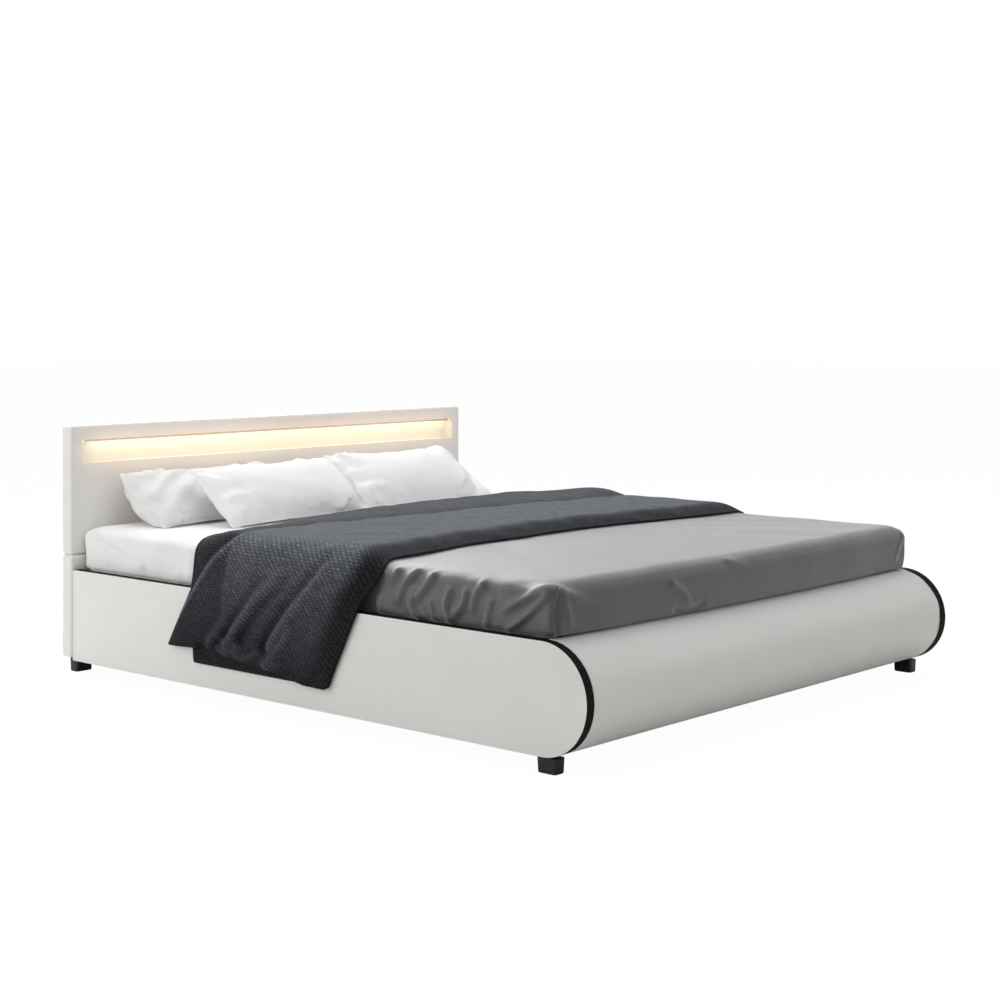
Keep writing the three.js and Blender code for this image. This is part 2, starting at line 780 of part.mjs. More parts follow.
function addBolts(side, end) {
  const name = `${end}_${side < 0 ? "left" : "right"}`;
  const { rail, board } = boltPlaces(side, end);
  const railBolt = addPiece(`bolt_rail_${name}`, hexBolt(boltGrip), zinc);
  railBolt.rotation.z = (side * Math.PI) / 2;
  railBolt.position.set(side * (railInnerX - bracketThickness - 2 * seat), rail.y, rail.z);
  const padding = end === "head" ? headboardPadding : 0;
  const boardBolt = addPiece(`bolt_board_${name}`, hexBolt(padding + boltGrip), zinc);
  if (board.inward < 0) boardBolt.rotation.z = Math.PI;
  boardBolt.position.set(board.x, board.wallY + board.inward * (bracketThickness + 2 * seat), board.z);
}

// Slat base

function centreBeam() {
  const outer = [beamWidth / 2, beamHeight];
  const shape = outlineShape([
    [-outer[0], ledgeTop - outer[1]], [outer[0], ledgeTop - outer[1]],
    [outer[0], ledgeTop], [-outer[0], ledgeTop],
  ]);
  const inner = beamWidth / 2 - beamWall;
  const hole = new THREE.Path([
    new THREE.Vector2(-inner, ledgeTop - beamHeight + beamWall),
    new THREE.Vector2(-inner, ledgeTop - beamWall),
    new THREE.Vector2(inner, ledgeTop - beamWall),
    new THREE.Vector2(inner, ledgeTop - beamHeight + beamWall),
  ]);
  shape.holes.push(hole);
  const start = rollY + 2 * seat + hangerThickness;
  return alongY(shape, start, headY - 2 * seat - hangerThickness);
}

// A plate on the board with a stirrup that carries the beam's end.
function beamHanger(end) {
  const wallY = end === "head" ? headY - seat : rollY + seat;
  const inward = end === "head" ? -1 : 1;
  const inner = beamWidth / 2 + seat;
  const outer = inner + hangerThickness;
  const floor = ledgeTop - beamHeight - seat;
  const rim = ledgeTop - beamHeight / 4;
  const plate = block(-hangerPlateWidth / 2, hangerPlateWidth / 2, wallY, wallY + inward * hangerThickness,
    rim - hangerPlateHeight, rim);
  const stirrup = outlineShape([
    [-outer, rim], [-outer, floor - hangerThickness], [outer, floor - hangerThickness], [outer, rim],
    [inner, rim], [inner, floor], [-inner, floor], [-inner, rim],
  ]);
  const far = wallY + inward * (hangerThickness + hangerDepth);
  return join(plate, alongY(stirrup, wallY + (inward * hangerThickness) / 2, far));
}

function centreLeg() {
  const top = ledgeTop - beamHeight - seat;
  const profile = [
    [0, 0], [legPadRadius - footEdge, 0], [legPadRadius, footEdge], [legPadRadius, legPadHeight - footEdge],
    [legRadius, legPadHeight], [legRadius, top - legFlange], [legFlangeRadius, top - legFlange],
    [legFlangeRadius, top], [0, top],
  ].map(([r, z]) => new THREE.Vector2(r, z));
  return positionOnly(new THREE.LatheGeometry(profile, 20)).rotateX(Math.PI / 2);
}

// Bowed slats on two sewn straps, which roll up as one mat.
function slatMat(side) {
  const inner = slatMiddleGap / 2;
  const outer = railInnerX - slatEndGap;
  const length = outer - inner;
  const middle = (side * (inner + outer)) / 2;
  const bow = (share) => slatCrown * (1 - share * share);
  const steps = 6;
  const lower = [];
  const upper = [];
  for (let i = 0; i <= steps; i++) {
    const share = (2 * i) / steps - 1;
    const x = middle + (share * length) / 2;
    lower.push([x, ledgeTop + seat + bow(share)]);
    upper.unshift([x, ledgeTop + seat + slatThickness + bow(share)]);
  }
  const pitch = (mattressLength - slatWidth) / (slatCount - 1);
  const shape = outlineShape([...lower, ...upper]);
  const slats = Array.from({ length: slatCount }, (_, i) =>
    alongY(shape, mattressFootY + i * pitch, mattressFootY + i * pitch + slatWidth));
  const under = ledgeTop + seat + bow(strapSpacingShare) + strapSink;
  const straps = [-1, 1].map((turn) => {
    const x = middle + (turn * strapSpacingShare * length) / 2;
    return block(x - strapWidth / 2, x + strapWidth / 2, mattressFootY, mattressHeadY,
      under - strapThickness - strapSink, under);
  });
  return join(...straps, ...slats);
}

// Feet

function taperedFoot(sizeX, sizeY, height) {
  const ring = (z, grow) =>
    roundedOutline(-sizeX / 2 - grow, sizeX / 2 + grow, -sizeY / 2 - grow, sizeY / 2 + grow,
      footCorner).map(([x, y]) => new THREE.Vector3(x, y, z));
  return loft([ring(0, -footEdge), ring(footEdge, 0), ring(height - seat, footTaper)]);
}

// Mattress and sheets

// The mattress's form, grown evenly on its sides and top, from a given height upwards. It swells
// above the rails, by more at the ends than at the sides, and its top edge is soft.
function mattressForm(grow, bottom, bottomEdge, footPuff = 0, footBow = 0) {
  const halfX = mattressWidth / 2 + grow;
  const halfY = mattressLength / 2 + grow;
  const ring = (z, inset, swell) => {
    const x = halfX - inset + swell * mattressSideBulge;
    const reach = halfY - inset + swell * mattressEndBulge;
    const foot = mattressMiddleY - reach - swell * footPuff;
    const outline = roundedOutline(-x, x, foot, mattressMiddleY + reach, mattressCorner, 4);
    return bowedFoot(outline, x - mattressCorner, foot, swell * footBow)
      .map(([a, b]) => new THREE.Vector3(a, b, z));
  };
  const top = mattressTop + grow;
  const shoulder = top - mattressShoulderDrop;
  const free = railTop + throwRailGap;
  return loft([
    ...edgeSteps(bottomEdge, 2).map(({ inset, rise }) => ring(bottom + rise, inset, 0)),
    ring(free, 0, 0),
    ring(free + (shoulder - free) * bulgeRiseShare, 0, bulgeShare),
    ring((free + shoulder) / 2, 0, 1),
    ...softEdge().map(({ inset, drop }) => ring(top - drop, inset, 1)),
  ]);
}

// Adds points to the foot side of an outline, so that it bows out in the middle.
function bowedFoot(outline, half, foot, bow, steps = 8) {
  const start = (outline.length * 3) / 4;
  const side = Array.from({ length: steps - 1 }, (_, i) => {
    const share = (2 * (i + 1)) / steps - 1;
    return [share * half, foot - bow * (1 - share * share)];
  });
  return [...outline.slice(0, start), ...side, ...outline.slice(start)];
}

// The soft top edge from the side inwards: how far it has drawn in, and how far it is below the top.
function softEdge(steps = 4) {
  return Array.from({ length: steps + 1 }, (_, i) => {
    const angle = (i / steps) * (Math.PI / 2);
    return {
      inset: mattressShoulder * (1 - Math.cos(angle)),
      drop: mattressShoulderDrop * (1 - Math.sin(angle)),
    };
  });
}

function sheetShell(inside, outside, reachY, footPuff = 0, footBow = 0) {
  const hem = mattressBottom + sheetHemGap;
  const outer = mattressForm(outside, hem, sheetEdge, footPuff, footBow);
  const hollow = mattressForm(inside, hem - overrun, sheetEdge);
  if (reachY === undefined) return cut(outer, hollow);
  const half = mattressWidth / 2 + mattressCorner;
  const beyond = mattressHeadY + 2 * mattressEndBulge;
  return cut(outer, hollow, block(-half, half, reachY, beyond, 0, mattressTop + mattressCorner));
}

// Throw

// The throw's head and foot edges along the path across the bed, from the hem on one side over the
// top to the hem on the other: distance from the mattress's head end, as shares of throwReach. Each
// value is a place on the path: 0 the near hem, 1 the rail's top, 2 the mattress's edge, 3 the middle
// of the bed, and 4, 5 and 6 the far edge, rail and hem.
const throwHeadShares = [0.345, 0.421, 0.407, 0.28, 0.268, 0.317, 0.331];
const throwFootShares = [0.844, 0.934, 0.996, 0.913, 0.972, 0.966, 0.91];
const lastPlace = throwHeadShares.length - 1;
// The places between which the mattress's soft edge lies: past the rail's top, and past the edge.
const edgeStartShare = 0.8;
const edgeEndShare = 0.1;

function shareAt(shares, place) {
  const i = Math.min(Math.floor(place), shares.length - 2);
  const t = place - i;
  const ease = t * t * (3 - 2 * t);
  return shares[i] + (shares[i + 1] - shares[i]) * ease;
}

// The throw's cross-section: a list of points on its underside, each with its outward direction
// and its place on the path.
function throwPath() {
  const sheets = 2 * seat + fittedSheet + flatSheet;
  const edgeX = mattressWidth / 2 + sheets + mattressSideBulge + throwRailGap;
  const topZ = sheetTop + seat;
  const hangX = railOuterX + throwRailGap;
  const shoulderZ = topZ - mattressShoulderDrop;
  const hangSteps = 7;
  const riseSteps = 3;
  const topSteps = 5;
  const half = [];
  for (let i = 0; i < hangSteps; i++) {
    const t = i / hangSteps;
    half.push({ x: hangX, z: throwHemHeight + (railTop - throwHemHeight) * t, place: t, angle: 0 });
  }
  const slope = Math.atan2(hangX - edgeX, shoulderZ - railTop);
  for (let i = 0; i < riseSteps; i++) {
    const t = i / riseSteps;
    half.push({
      x: hangX + (edgeX - hangX) * t, z: railTop + (shoulderZ - railTop) * t,
      place: 1 + t * edgeStartShare, angle: slope,
    });
  }
  const edge = softEdge(5);
  edge.forEach(({ inset, drop }, i) => {
    const t = i / (edge.length - 1);
    half.push({
      x: edgeX - inset, z: topZ - drop,
      place: 1 + edgeStartShare + (1 + edgeEndShare - edgeStartShare) * t, angle: t * (Math.PI / 2),
    });
  });
  for (let i = 1; i <= topSteps; i++) {
    const t = i / topSteps;
    half.push({
      x: (edgeX - mattressShoulder) * (1 - t), z: topZ,
      place: 2 + edgeEndShare + (1 - edgeEndShare) * t, angle: Math.PI / 2,
    });
  }
  const near = half.map((p) => ({ ...p, side: -1 }));
  const far = half.slice(0, -1).reverse().map((p) => ({ ...p, place: lastPlace - p.place, side: 1 }));
  return [...near, ...far];
}

function smooth(share) {
  const t = Math.min(1, Math.max(0, share));
  return t * t * (3 - 2 * t);
}

function knittedThrow() {
  const rows = 14;
  const upper = [];
  const lower = [];
  for (const p of throwPath()) {
    const footY = mattressHeadY - shareAt(throwFootShares, p.place) * throwReach;
    const headEdgeY = mattressHeadY - shareAt(throwHeadShares, p.place) * throwReach;
    const hang = Math.max(0, 1 - Math.min(p.place, lastPlace - p.place) / 2);
    const above = [];
    const below = [];
    for (let j = 0; j <= rows; j++) {
      // closer together near both edges, where the knit rounds over
      const even = j / rows;
      const eased = (1 - Math.cos(Math.PI * even)) / 2;
      const v = even + throwEdgeCrowding * (eased - even);
      const y = footY + (headEdgeY - footY) * v;
      const wave = Math.cos(2 * Math.PI * (throwFoldCount * v + throwFoldLean * hang));
      const fold = throwFold * hang * (1 + wave);
      const puff = throwPuff * (1 - hang) * Math.sqrt(Math.max(0, 1 - (2 * v - 1) ** 8));
      const out = throwThickness + fold + puff;
      const lift = smooth((v - 1) / throwCornerShare + 1) * throwCornerLift * Math.max(0, 1 - p.place);
      const dx = p.side * Math.cos(p.angle);
      const dz = Math.sin(p.angle);
      above.push(new THREE.Vector3(p.side * p.x + dx * out, y, p.z + dz * out + lift));
      below.push(new THREE.Vector3(p.side * p.x + dx * fold, y, p.z + dz * fold + lift));
    }
    upper.push(above);
    lower.push(below);
  }
  return closedSheet(upper, lower);
}

// Pillows

// Crowned on both faces, with the sides drawn in between four pointed corners.
function pillowForm({ full, tall, drawIn }) {
  const columns = 18;
  const rows = 12;
  const grid = (height) =>
    Array.from({ length: rows + 1 }, (_, r) => {
      const v = Math.sin(((2 * r) / rows - 1) * (Math.PI / 2));
      return Array.from({ length: columns + 1 }, (_, c) => {
        const u = Math.sin(((2 * c) / columns - 1) * (Math.PI / 2));
        const x = u * (pillowWidth / 2 - drawIn * (1 - v * v));
        const y = v * tall * (pillowHeight / 2 - pillowDrawIn * (1 - u * u));
        const rise = (1 - Math.abs(u) ** 3) * (1 - Math.abs(v) ** 2.4);
        return new THREE.Vector3(x, y, height * full * Math.max(0, rise) ** 0.6);
      });
    });
  return closedSheet(grid(pillowCrown), grid(-pillowBack));
}

// Sideways place of each, its lower seam's distance from the headboard's front face, turn and tilt,
// the shares of the crown and the height that it keeps where it is squeezed, and how far its short
// sides bow in.
const pillowPlaces = {
  pillow_back_left: { x: -450, gap: 258, yaw: 0.04, tilt: 0.64, full: 1, tall: 1, drawIn: -8 },
  pillow_back_right: { x: 540, gap: 250, yaw: 0.03, tilt: 0.36, full: 0.5, tall: 0.85, drawIn: 8 },
  pillow_front_left: { x: -303, gap: 432, yaw: 0.045, tilt: 0.7, full: 1, tall: 1, drawIn: 16 },
  pillow_front_right: { x: 385, gap: 355, yaw: 0.04, tilt: 0.72, full: 1, tall: 1, drawIn: 16 },
};

function addPillow(name, place) {
  const { x, gap, yaw, tilt, tall } = place;
  const turn = new THREE.Group();
  turn.position.set(x, headY - gap, fittedTop + seat);
  turn.rotation.z = yaw;
  bed.add(turn);
  const pillow = addPiece(name, pillowForm(place), whiteCotton, turn);
  pillow.rotation.x = tilt;
  const half = (tall * pillowHeight) / 2;
  pillow.position.set(0, half * Math.cos(tilt), half * Math.sin(tilt));
}

// Assembly

const sides = { left: -1, right: 1 };

addPiece("headboard_upper_core", upperCore(), plywood);
addPiece("headboard_upper_cover", upperCover(), leather);
addPiece("headboard_lower_core", lowerCore(), plywood);
addPiece("headboard_lower_cover", lowerCover(), leather);
addPiece("headboard_back_panel", backPanel(), blackCloth);
addPiece("light_trough", lightTrough(), lacquer);
addPiece("led_channel", ledChannel(), aluminium);
addPiece("led_strip", ledStrip(), diffuser);
addPiece("led_diffuser", ledDiffuser(), diffuser);
addPiece("led_driver", ledDriver(), blackPlastic);
addPiece("led_lead", ledLead(), blackPlastic);
addPiece("dc_inlet", dcInlet(), blackPlastic);

for (const [name, side] of Object.entries(sides)) {
  addPiece(`headboard_batten_${name}`, batten(side), plywood);
  addPiece(`side_rail_${name}`, railBoard(side), plywood);
  addPiece(`side_rail_cover_${name}`, railCover(side), leather);
  addPiece(`side_rail_band_${name}`, railBand(side), blackBand);
  addPiece(`slat_ledge_${name}`, slatLedge(side), beech);
  addPiece(`slat_mat_${name}`, slatMat(side), beech);
  for (const end of ["head", "foot"]) {
    addPiece(`corner_bracket_${end}_${name}`, cornerBracket(side, end), steel);
    addBolts(side, end);
  }
  const frontFoot = addPiece(`foot_front_${name}`,
    taperedFoot(footWidth, footLength, railClearance), blackPlastic);
  frontFoot.position.set(side * (railOuterX - frontFootInset - footWidth / 2),
    rollY + frontFootSetback - footLength / 2, 0);
  const rearFoot = addPiece(`foot_rear_${name}`,
    taperedFoot(footLength, footWidth, headboardClearance), blackPlastic);
  rearFoot.position.set(side * (headboardHalf - rearFootInset - footLength / 2),
    headY + headboardThickness / 2 - rearFootForward, 0);
}

addPiece("footboard_board", footboardInnerBoard(), plywood);
for (let i = 0; i < formerCount; i++) addPiece(`footboard_former_${i + 1}`, footboardFormer(i), plywood);
addPiece("footboard_skin", footboardSkin(), plywood);
addPiece("footboard_cover", footboardCover(), leather);

addPiece("centre_beam", centreBeam(), steel);
addPiece("beam_hanger_head", beamHanger("head"), steel);
addPiece("beam_hanger_foot", beamHanger("foot"), steel);
for (let i = 0; i < legCount; i++) {
  const leg = addPiece(`centre_leg_${i + 1}`, centreLeg(), steel);
  leg.position.y = mattressFootY + ((i + 1) / (legCount + 1)) * mattressLength;
}

addPiece("mattress", mattressForm(0, mattressBottom, mattressEdge), ticking);
addPiece("fitted_sheet", sheetShell(seat, seat + fittedSheet), whiteCotton);
addPiece("flat_sheet", sheetShell(2 * seat + fittedSheet, 2 * seat + fittedSheet + flatSheet,
  mattressFootY + flatSheetReach, flatSheetPuff, flatSheetBow), greySatin);
addPiece("knitted_throw", knittedThrow(), slateKnit);
for (const [name, place] of Object.entries(pillowPlaces)) addPillow(name, place);

export default bed;
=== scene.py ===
# Looks of the upholstered double bed: leather, lit headboard, bedding, studio and camera.
# Metres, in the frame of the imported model: +Z up, +Y towards the headboard, X across.

import math

import bmesh
import bpy
import numpy as np
from mathutils import Euler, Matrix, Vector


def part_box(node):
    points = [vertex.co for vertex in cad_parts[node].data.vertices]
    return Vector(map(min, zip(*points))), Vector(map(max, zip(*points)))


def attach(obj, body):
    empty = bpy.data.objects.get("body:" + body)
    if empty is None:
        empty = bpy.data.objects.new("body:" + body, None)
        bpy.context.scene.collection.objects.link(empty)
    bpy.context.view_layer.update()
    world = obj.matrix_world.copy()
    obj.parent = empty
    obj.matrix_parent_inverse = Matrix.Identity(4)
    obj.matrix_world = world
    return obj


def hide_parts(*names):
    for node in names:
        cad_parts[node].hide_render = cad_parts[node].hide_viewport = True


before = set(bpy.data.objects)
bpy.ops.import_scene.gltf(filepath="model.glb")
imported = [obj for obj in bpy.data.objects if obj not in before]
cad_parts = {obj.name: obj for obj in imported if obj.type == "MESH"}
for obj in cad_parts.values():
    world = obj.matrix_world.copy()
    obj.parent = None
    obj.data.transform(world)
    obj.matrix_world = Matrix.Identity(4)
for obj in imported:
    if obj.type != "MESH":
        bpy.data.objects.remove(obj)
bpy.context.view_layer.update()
scene = bpy.context.scene
MM = 0.001

# Camera: level, with the horizon above the middle of the picture

CAMERA_PLACE = (-4.579, -4.049, 1.175)
CAMERA_TURN = math.radians(-48.4531)
CAMERA_LENS = 66.14
CAMERA_SENSOR = 36.0
HORIZON_SHIFT = -0.18

camera_data = bpy.data.cameras.new("camera")
camera_data.lens = CAMERA_LENS
camera_data.sensor_width = CAMERA_SENSOR
camera_data.shift_y = HORIZON_SHIFT
camera = bpy.data.objects.new("camera", camera_data)
camera.location = CAMERA_PLACE
camera.rotation_euler = (math.pi / 2, 0, CAMERA_TURN)
scene.collection.objects.link(camera)
scene.camera = camera

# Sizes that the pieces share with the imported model


def box_of(node):
    """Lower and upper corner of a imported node."""
    return [np.array(corner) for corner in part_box(node)]


mattress_low, mattress_high = box_of("mattress")
rail_low, rail_high = box_of("side_rail_cover_right")
board_low, board_high = box_of("headboard_upper_cover")
lower_low, lower_high = box_of("headboard_lower_cover")
roll_low, roll_high = box_of("footboard_cover")
diffuser_low, diffuser_high = box_of("led_diffuser")

RAIL_TOP = rail_high[2]
RAIL_OUTER = rail_high[0]
RAIL_COVER_BACK = rail_low[0]
RAIL_RADIUS = (rail_high[2] - rail_low[2]) / 2
ROLL_Z = (rail_high[2] + rail_low[2]) / 2
ROLL_Y = rail_low[1] + RAIL_RADIUS
HEAD_Y = board_low[1]
SEAT_GAP = 0.3 * MM
RAIL_CLEARANCE = 0.002
SHEETS_THICKNESS = 0.006
MATTRESS_HALF = 0.9
MATTRESS_REACH = 1.0
MATTRESS_PLAY = 0.022
MATTRESS_HEAD = HEAD_Y - MATTRESS_PLAY
MATTRESS_MIDDLE = MATTRESS_HEAD - MATTRESS_REACH
MATTRESS_TOP = mattress_high[2]
MATTRESS_BOTTOM = mattress_low[2]


# Mesh helpers


def grid_faces(rows, columns, wrap=False, start=0):
    """Four-sided faces of a grid whose points are numbered row by row; wrap closes each row."""
    row = np.arange(rows - 1)[:, None]
    column = np.arange(columns if wrap else columns - 1)[None, :]
    after = (column + 1) % columns
    corners = [row * columns + column, row * columns + after,
               (row + 1) * columns + after, (row + 1) * columns + column]
    return np.stack(np.broadcast_arrays(*corners), axis=-1).reshape(-1, 4) + start


def bridge(first, second, flip=False):
    """Four-sided faces between two closed rows of point numbers."""
    faces = np.stack([first, np.roll(first, -1), np.roll(second, -1), second], axis=1)
    return faces[:, (1, 0, 3, 2)] if flip else faces


def smooth(mesh):
    mesh.polygons.foreach_set("use_smooth", [True] * len(mesh.polygons))


def rework(mesh, *steps):
    """Edits a mesh by bmesh steps and turns its faces outwards."""
    work = bmesh.new()
    work.from_mesh(mesh)
    for step in steps:
        step(work)
    bmesh.ops.recalc_face_normals(work, faces=work.faces)
    work.to_mesh(mesh)
    work.free()


def make_object(name, points, faces, uv=None, merge=0.0, fields=None):
    mesh = bpy.data.meshes.new(name)
    points = np.asarray(points, float).reshape(-1, 3)
    mesh.from_pydata(points.tolist(), [], [list(map(int, f)) for f in faces])
    if uv is not None:
        layer = mesh.uv_layers.new(name="metres")
        corner_points = np.empty(len(mesh.loops), dtype=np.int64)
        mesh.loops.foreach_get("vertex_index", corner_points)
        layer.data.foreach_set("uv", np.asarray(uv, np.float32)[corner_points].ravel())
    for field, values in (fields or {}).items():
        attribute = mesh.attributes.new(field, "FLOAT", "POINT")
        attribute.data.foreach_set("value", np.asarray(values, np.float32))
    if merge:
        rework(mesh, lambda work: bmesh.ops.remove_doubles(work, verts=work.verts, dist=merge))
    mesh.update()
    smooth(mesh)
    obj = bpy.data.objects.new(name, mesh)
    scene.collection.objects.link(obj)
    return obj


def closed_form(name, points, uv, bottom=False):
    """A piece of closed rings, with a face on its last ring and, if asked, one on its first."""
    rows, count = points.shape[:2]
    faces = list(grid_faces(rows, count, wrap=True))
    ring = np.arange(count)
    if bottom:
        faces.append(ring[::-1])
    faces.append((rows - 1) * count + ring)
    return make_object(name, points, faces, uv=uv)


def piece(obj, material, slot, *replaced):
    obj.data.materials.clear()
    obj.data.materials.append(material)
    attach(obj, "root")
    if replaced:
        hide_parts(*replaced)
    return obj


def modifier(obj, kind, **settings):
    made = obj.modifiers.new(kind.lower(), kind)
    for key, value in settings.items():
        setattr(made, key, value)
    return made


RING_CROWDING = 0.55


def rounded_ring(a0, a1, b0, b1, radius, along_a, along_b, corner):
    """Points round a rectangle with round corners; rings with the same counts match one another.
    The points are crowded a little towards the corners."""
    def side(start, end, count):
        t = np.arange(1, count) / count
        t = t - RING_CROWDING * np.sin(2 * np.pi * t) / (2 * np.pi)
        return start + (end - start) * t[:, None]

    quarters = [(a1 - radius, b1 - radius), (a0 + radius, b1 - radius),
                (a0 + radius, b0 + radius), (a1 - radius, b0 + radius)]
    counts = [along_a, along_b, along_a, along_b]
    arcs = []
    for k, centre in enumerate(quarters):
        angle = (k + np.arange(corner + 1) / corner) * np.pi / 2
        arcs.append(np.array(centre) + radius * np.stack([np.cos(angle), np.sin(angle)], axis=1))
    parts = []
    for k in range(4):
        parts.append(arcs[k])
        parts.append(side(arcs[k][-1], arcs[(k + 1) % 4][0], counts[k]))
    return np.concatenate(parts)


NO_LENGTH = 1e-9


def unit(vectors):
    return vectors / np.maximum(np.linalg.norm(vectors, axis=-1, keepdims=True), NO_LENGTH)


def ease(t):
    t = np.clip(t, 0, 1)
    return t * t * (3 - 2 * t)


def run_length(points, axis):
    """Length along one way of a grid of points, from its first point."""
    steps = np.linalg.norm(np.diff(points, axis=axis), axis=-1)
    return np.insert(steps.cumsum(axis=axis), 0, 0, axis=axis)


CORNER_CUT = 0.25


def rounded_line(line):
    """A polyline with its corners cut off twice, so that a ridge along it bends softly."""
    for _ in range(2):
        cuts = np.stack([(1 - CORNER_CUT) * line[:-1] + CORNER_CUT * line[1:],
                         CORNER_CUT * line[:-1] + (1 - CORNER_CUT) * line[1:]], axis=1)
        line = np.concatenate([line[:1], cuts.reshape(-1, line.shape[1])[1:-1], line[-1:]])
    return line


def in_plane(table, axis, place=0.0):
    """A table of lines that are drawn in a plane, with the third coordinate put in at its place."""
    return [(np.insert(np.array(line, float), axis, place, axis=1), *sizes) for line, *sizes in table]


def ridge_field(points, lines):
    """Height of soft ridges that follow polylines. Each line is (polyline, half width, height at its
    start, height at its end)."""
    flat = points.reshape(-1, 3)
    total = np.zeros(len(flat))
    for line, width, start_height, end_height in lines:
        line = rounded_line(np.array(line, float))
        lengths = np.linalg.norm(np.diff(line, axis=0), axis=1)
        before = run_length(line, 0)
        near = np.full(len(flat), np.inf)
        place = np.zeros(len(flat))
        for k in range(len(line) - 1):
            step = line[k + 1] - line[k]
            t = np.clip((flat - line[k]) @ step / (step @ step), 0, 1)
            distance = np.linalg.norm(flat - (line[k] + t[:, None] * step), axis=1)
            closer = distance < near
            near = np.where(closer, distance, near)
            place = np.where(closer, before[k] + t * lengths[k], place)
        share = place / before[-1]
        height = start_height + (end_height - start_height) * share
        total += height * np.exp(-(near / width) ** 2)
    return total.reshape(points.shape[:-1])


WAVE_COUNT = 7
WAVE_SPREAD_SHARES = (0.6, 1.6)


def waves(points, seed, size):
    """Smooth unevenness from a few plane waves, about from -1 to 1."""
    draw = np.random.default_rng(seed)
    total = np.zeros(points.shape[:-1])
    for _ in range(WAVE_COUNT):
        direction = unit(draw.normal(size=3))
        length = size * draw.uniform(*WAVE_SPREAD_SHARES)
        total += np.sin(points @ direction * (2 * np.pi / length) + draw.uniform(0, 2 * np.pi))
    return total / math.sqrt(WAVE_COUNT)


# Material helpers


def feed(tree, socket, value):
    """Links a socket to another one, or sets its plain value."""
    if isinstance(value, bpy.types.NodeSocket):
        tree.links.new(value, socket)
    else:
        socket.default_value = value


def add_node(tree, kind, settings=None, **inputs):
    """A shader node. The inputs i0, i1 and so on are those that go by number."""
    made = tree.nodes.new("ShaderNode" + kind)
    for key, value in (settings or {}).items():
        setattr(made, key, value)
    for key, value in inputs.items():
        number = key[1:]
        feed(tree, made.inputs[int(number) if number.isdigit() else key.replace("_", " ")], value)
    return made


class Shade:
    """A material's nodes, built by short calls. Sockets and plain values can both be passed."""

    def __init__(self, name, roughness=0.5, **settings):
        self.material = bpy.data.materials.new(name)
        self.material.use_nodes = True
        self.tree = self.material.node_tree
        self.surface = next(n for n in self.tree.nodes if n.type == "BSDF_PRINCIPLED")
        self.set(Roughness=roughness, **settings)

    def set(self, **values):
        for key, value in values.items():
            feed(self.tree, self.surface.inputs[key.replace("_", " ")], value)

    def node(self, kind, settings=None, **inputs):
        return add_node(self.tree, kind, settings, **inputs)

    def math(self, operation, a, b=0.0):
        return self.node("Math", {"operation": operation}, i0=a, i1=b).outputs[0]

    def place(self):
        return self.node("TexCoord").outputs["Object"]

    def metres(self):
        return self.node("UVMap", {"uv_map": "metres"}).outputs["UV"]

    def noise(self, vector, scale, detail=2.0, roughness=0.5):
        return self.node("TexNoise", Vector=vector, Scale=scale, Detail=detail,
                         Roughness=roughness).outputs[0]

    def between(self, value, low, high):
        return self.node("MapRange", Value=value, To_Min=low, To_Max=high).outputs["Result"]

    def mix(self, factor, a, b):
        a, b = ((*value, 1) if isinstance(value, tuple) else value for value in (a, b))
        return self.node("Mix", {"data_type": "RGBA"}, Factor=factor, A=a, B=b).outputs["Result"]

    def paint(self, low, high, value):
        self.set(Base_Color=self.mix(value, low, high))

    def ridges(self, value, rate):
        """Rounded ridges: a sine without its sign."""
        return self.math("ABSOLUTE", self.math("SINE", self.math("MULTIPLY", value, rate)))

    def bump(self, height, distance, strength=1.0, over=None):
        made = self.node("Bump", Height=height, Distance=distance, Strength=strength)
        if over is not None:
            feed(self.tree, made.inputs["Normal"], over)
        return made.outputs["Normal"]


def leather_material(name, low, high, roughness, grain, specular=0.45):
    """Pebbled leather: small cells with soft creases, over a slight unevenness of the padding."""
    shade = Shade(name, Specular_IOR_Level=specular)
    place = shade.place()
    cells = shade.node("TexVoronoi", {"feature": "DISTANCE_TO_EDGE"}, Vector=place, Scale=620.0)
    pebbles = shade.math("MINIMUM", cells.outputs["Distance"], 0.22)
    pores = shade.noise(place, scale=1500.0)
    padding = shade.noise(place, scale=5.0, detail=1.0)
    shade.paint(low, high, shade.noise(place, scale=9.0, detail=3.0))
    shade.set(Roughness=shade.between(shade.noise(place, scale=60.0), roughness - 0.05, roughness + 0.06))
    first = shade.bump(padding, distance=1.6 * MM, strength=0.6)
    second = shade.bump(pebbles, distance=0.6 * MM * grain, strength=0.7, over=first)
    shade.set(Normal=shade.bump(pores, distance=0.06 * MM * grain, strength=0.5, over=second))
    return shade.material


def cloth_material(name, low, high, roughness, pitch, sheen, unevenness, specular=0.3):
    """A plain weave of two crossed waves in the plane of the cloth, over soft creases."""
    shade = Shade(name, roughness, Specular_IOR_Level=specular, Sheen_Weight=sheen, Sheen_Roughness=0.4)
    place = shade.place()
    shade.paint(low, high, shade.noise(place, scale=14.0, detail=3.0))
    creases = shade.noise(place, scale=26.0, detail=3.0, roughness=0.6)
    creases = shade.bump(creases, distance=unevenness, strength=0.7)
    parts = shade.node("SeparateXYZ", Vector=shade.metres()).outputs
    weave = shade.math("MULTIPLY", *(shade.ridges(parts[way], math.pi / pitch) for way in ("X", "Y")))
    shade.set(Normal=shade.bump(weave, distance=pitch * 0.25, strength=0.5, over=creases))
    return shade.material


KNIT_ROW = 0.0072
KNIT_LOOP = 0.024
KNIT_WANDER = 1.15
KNIT_SHARPNESS = 1.3
KNIT_RELIEF = 0.0022
# colours of the gaps and of the yarn at the shaded and at the lit end of the painted light and shade on the
# throw
KNIT_GAP_SHADED = (0.001, 0.001, 0.0012)
KNIT_GAP_LIT = (0.066, 0.070, 0.079)
KNIT_YARN_SHADED = (0.016, 0.0167, 0.0188)
KNIT_YARN_LIT = (0.192, 0.202, 0.228)


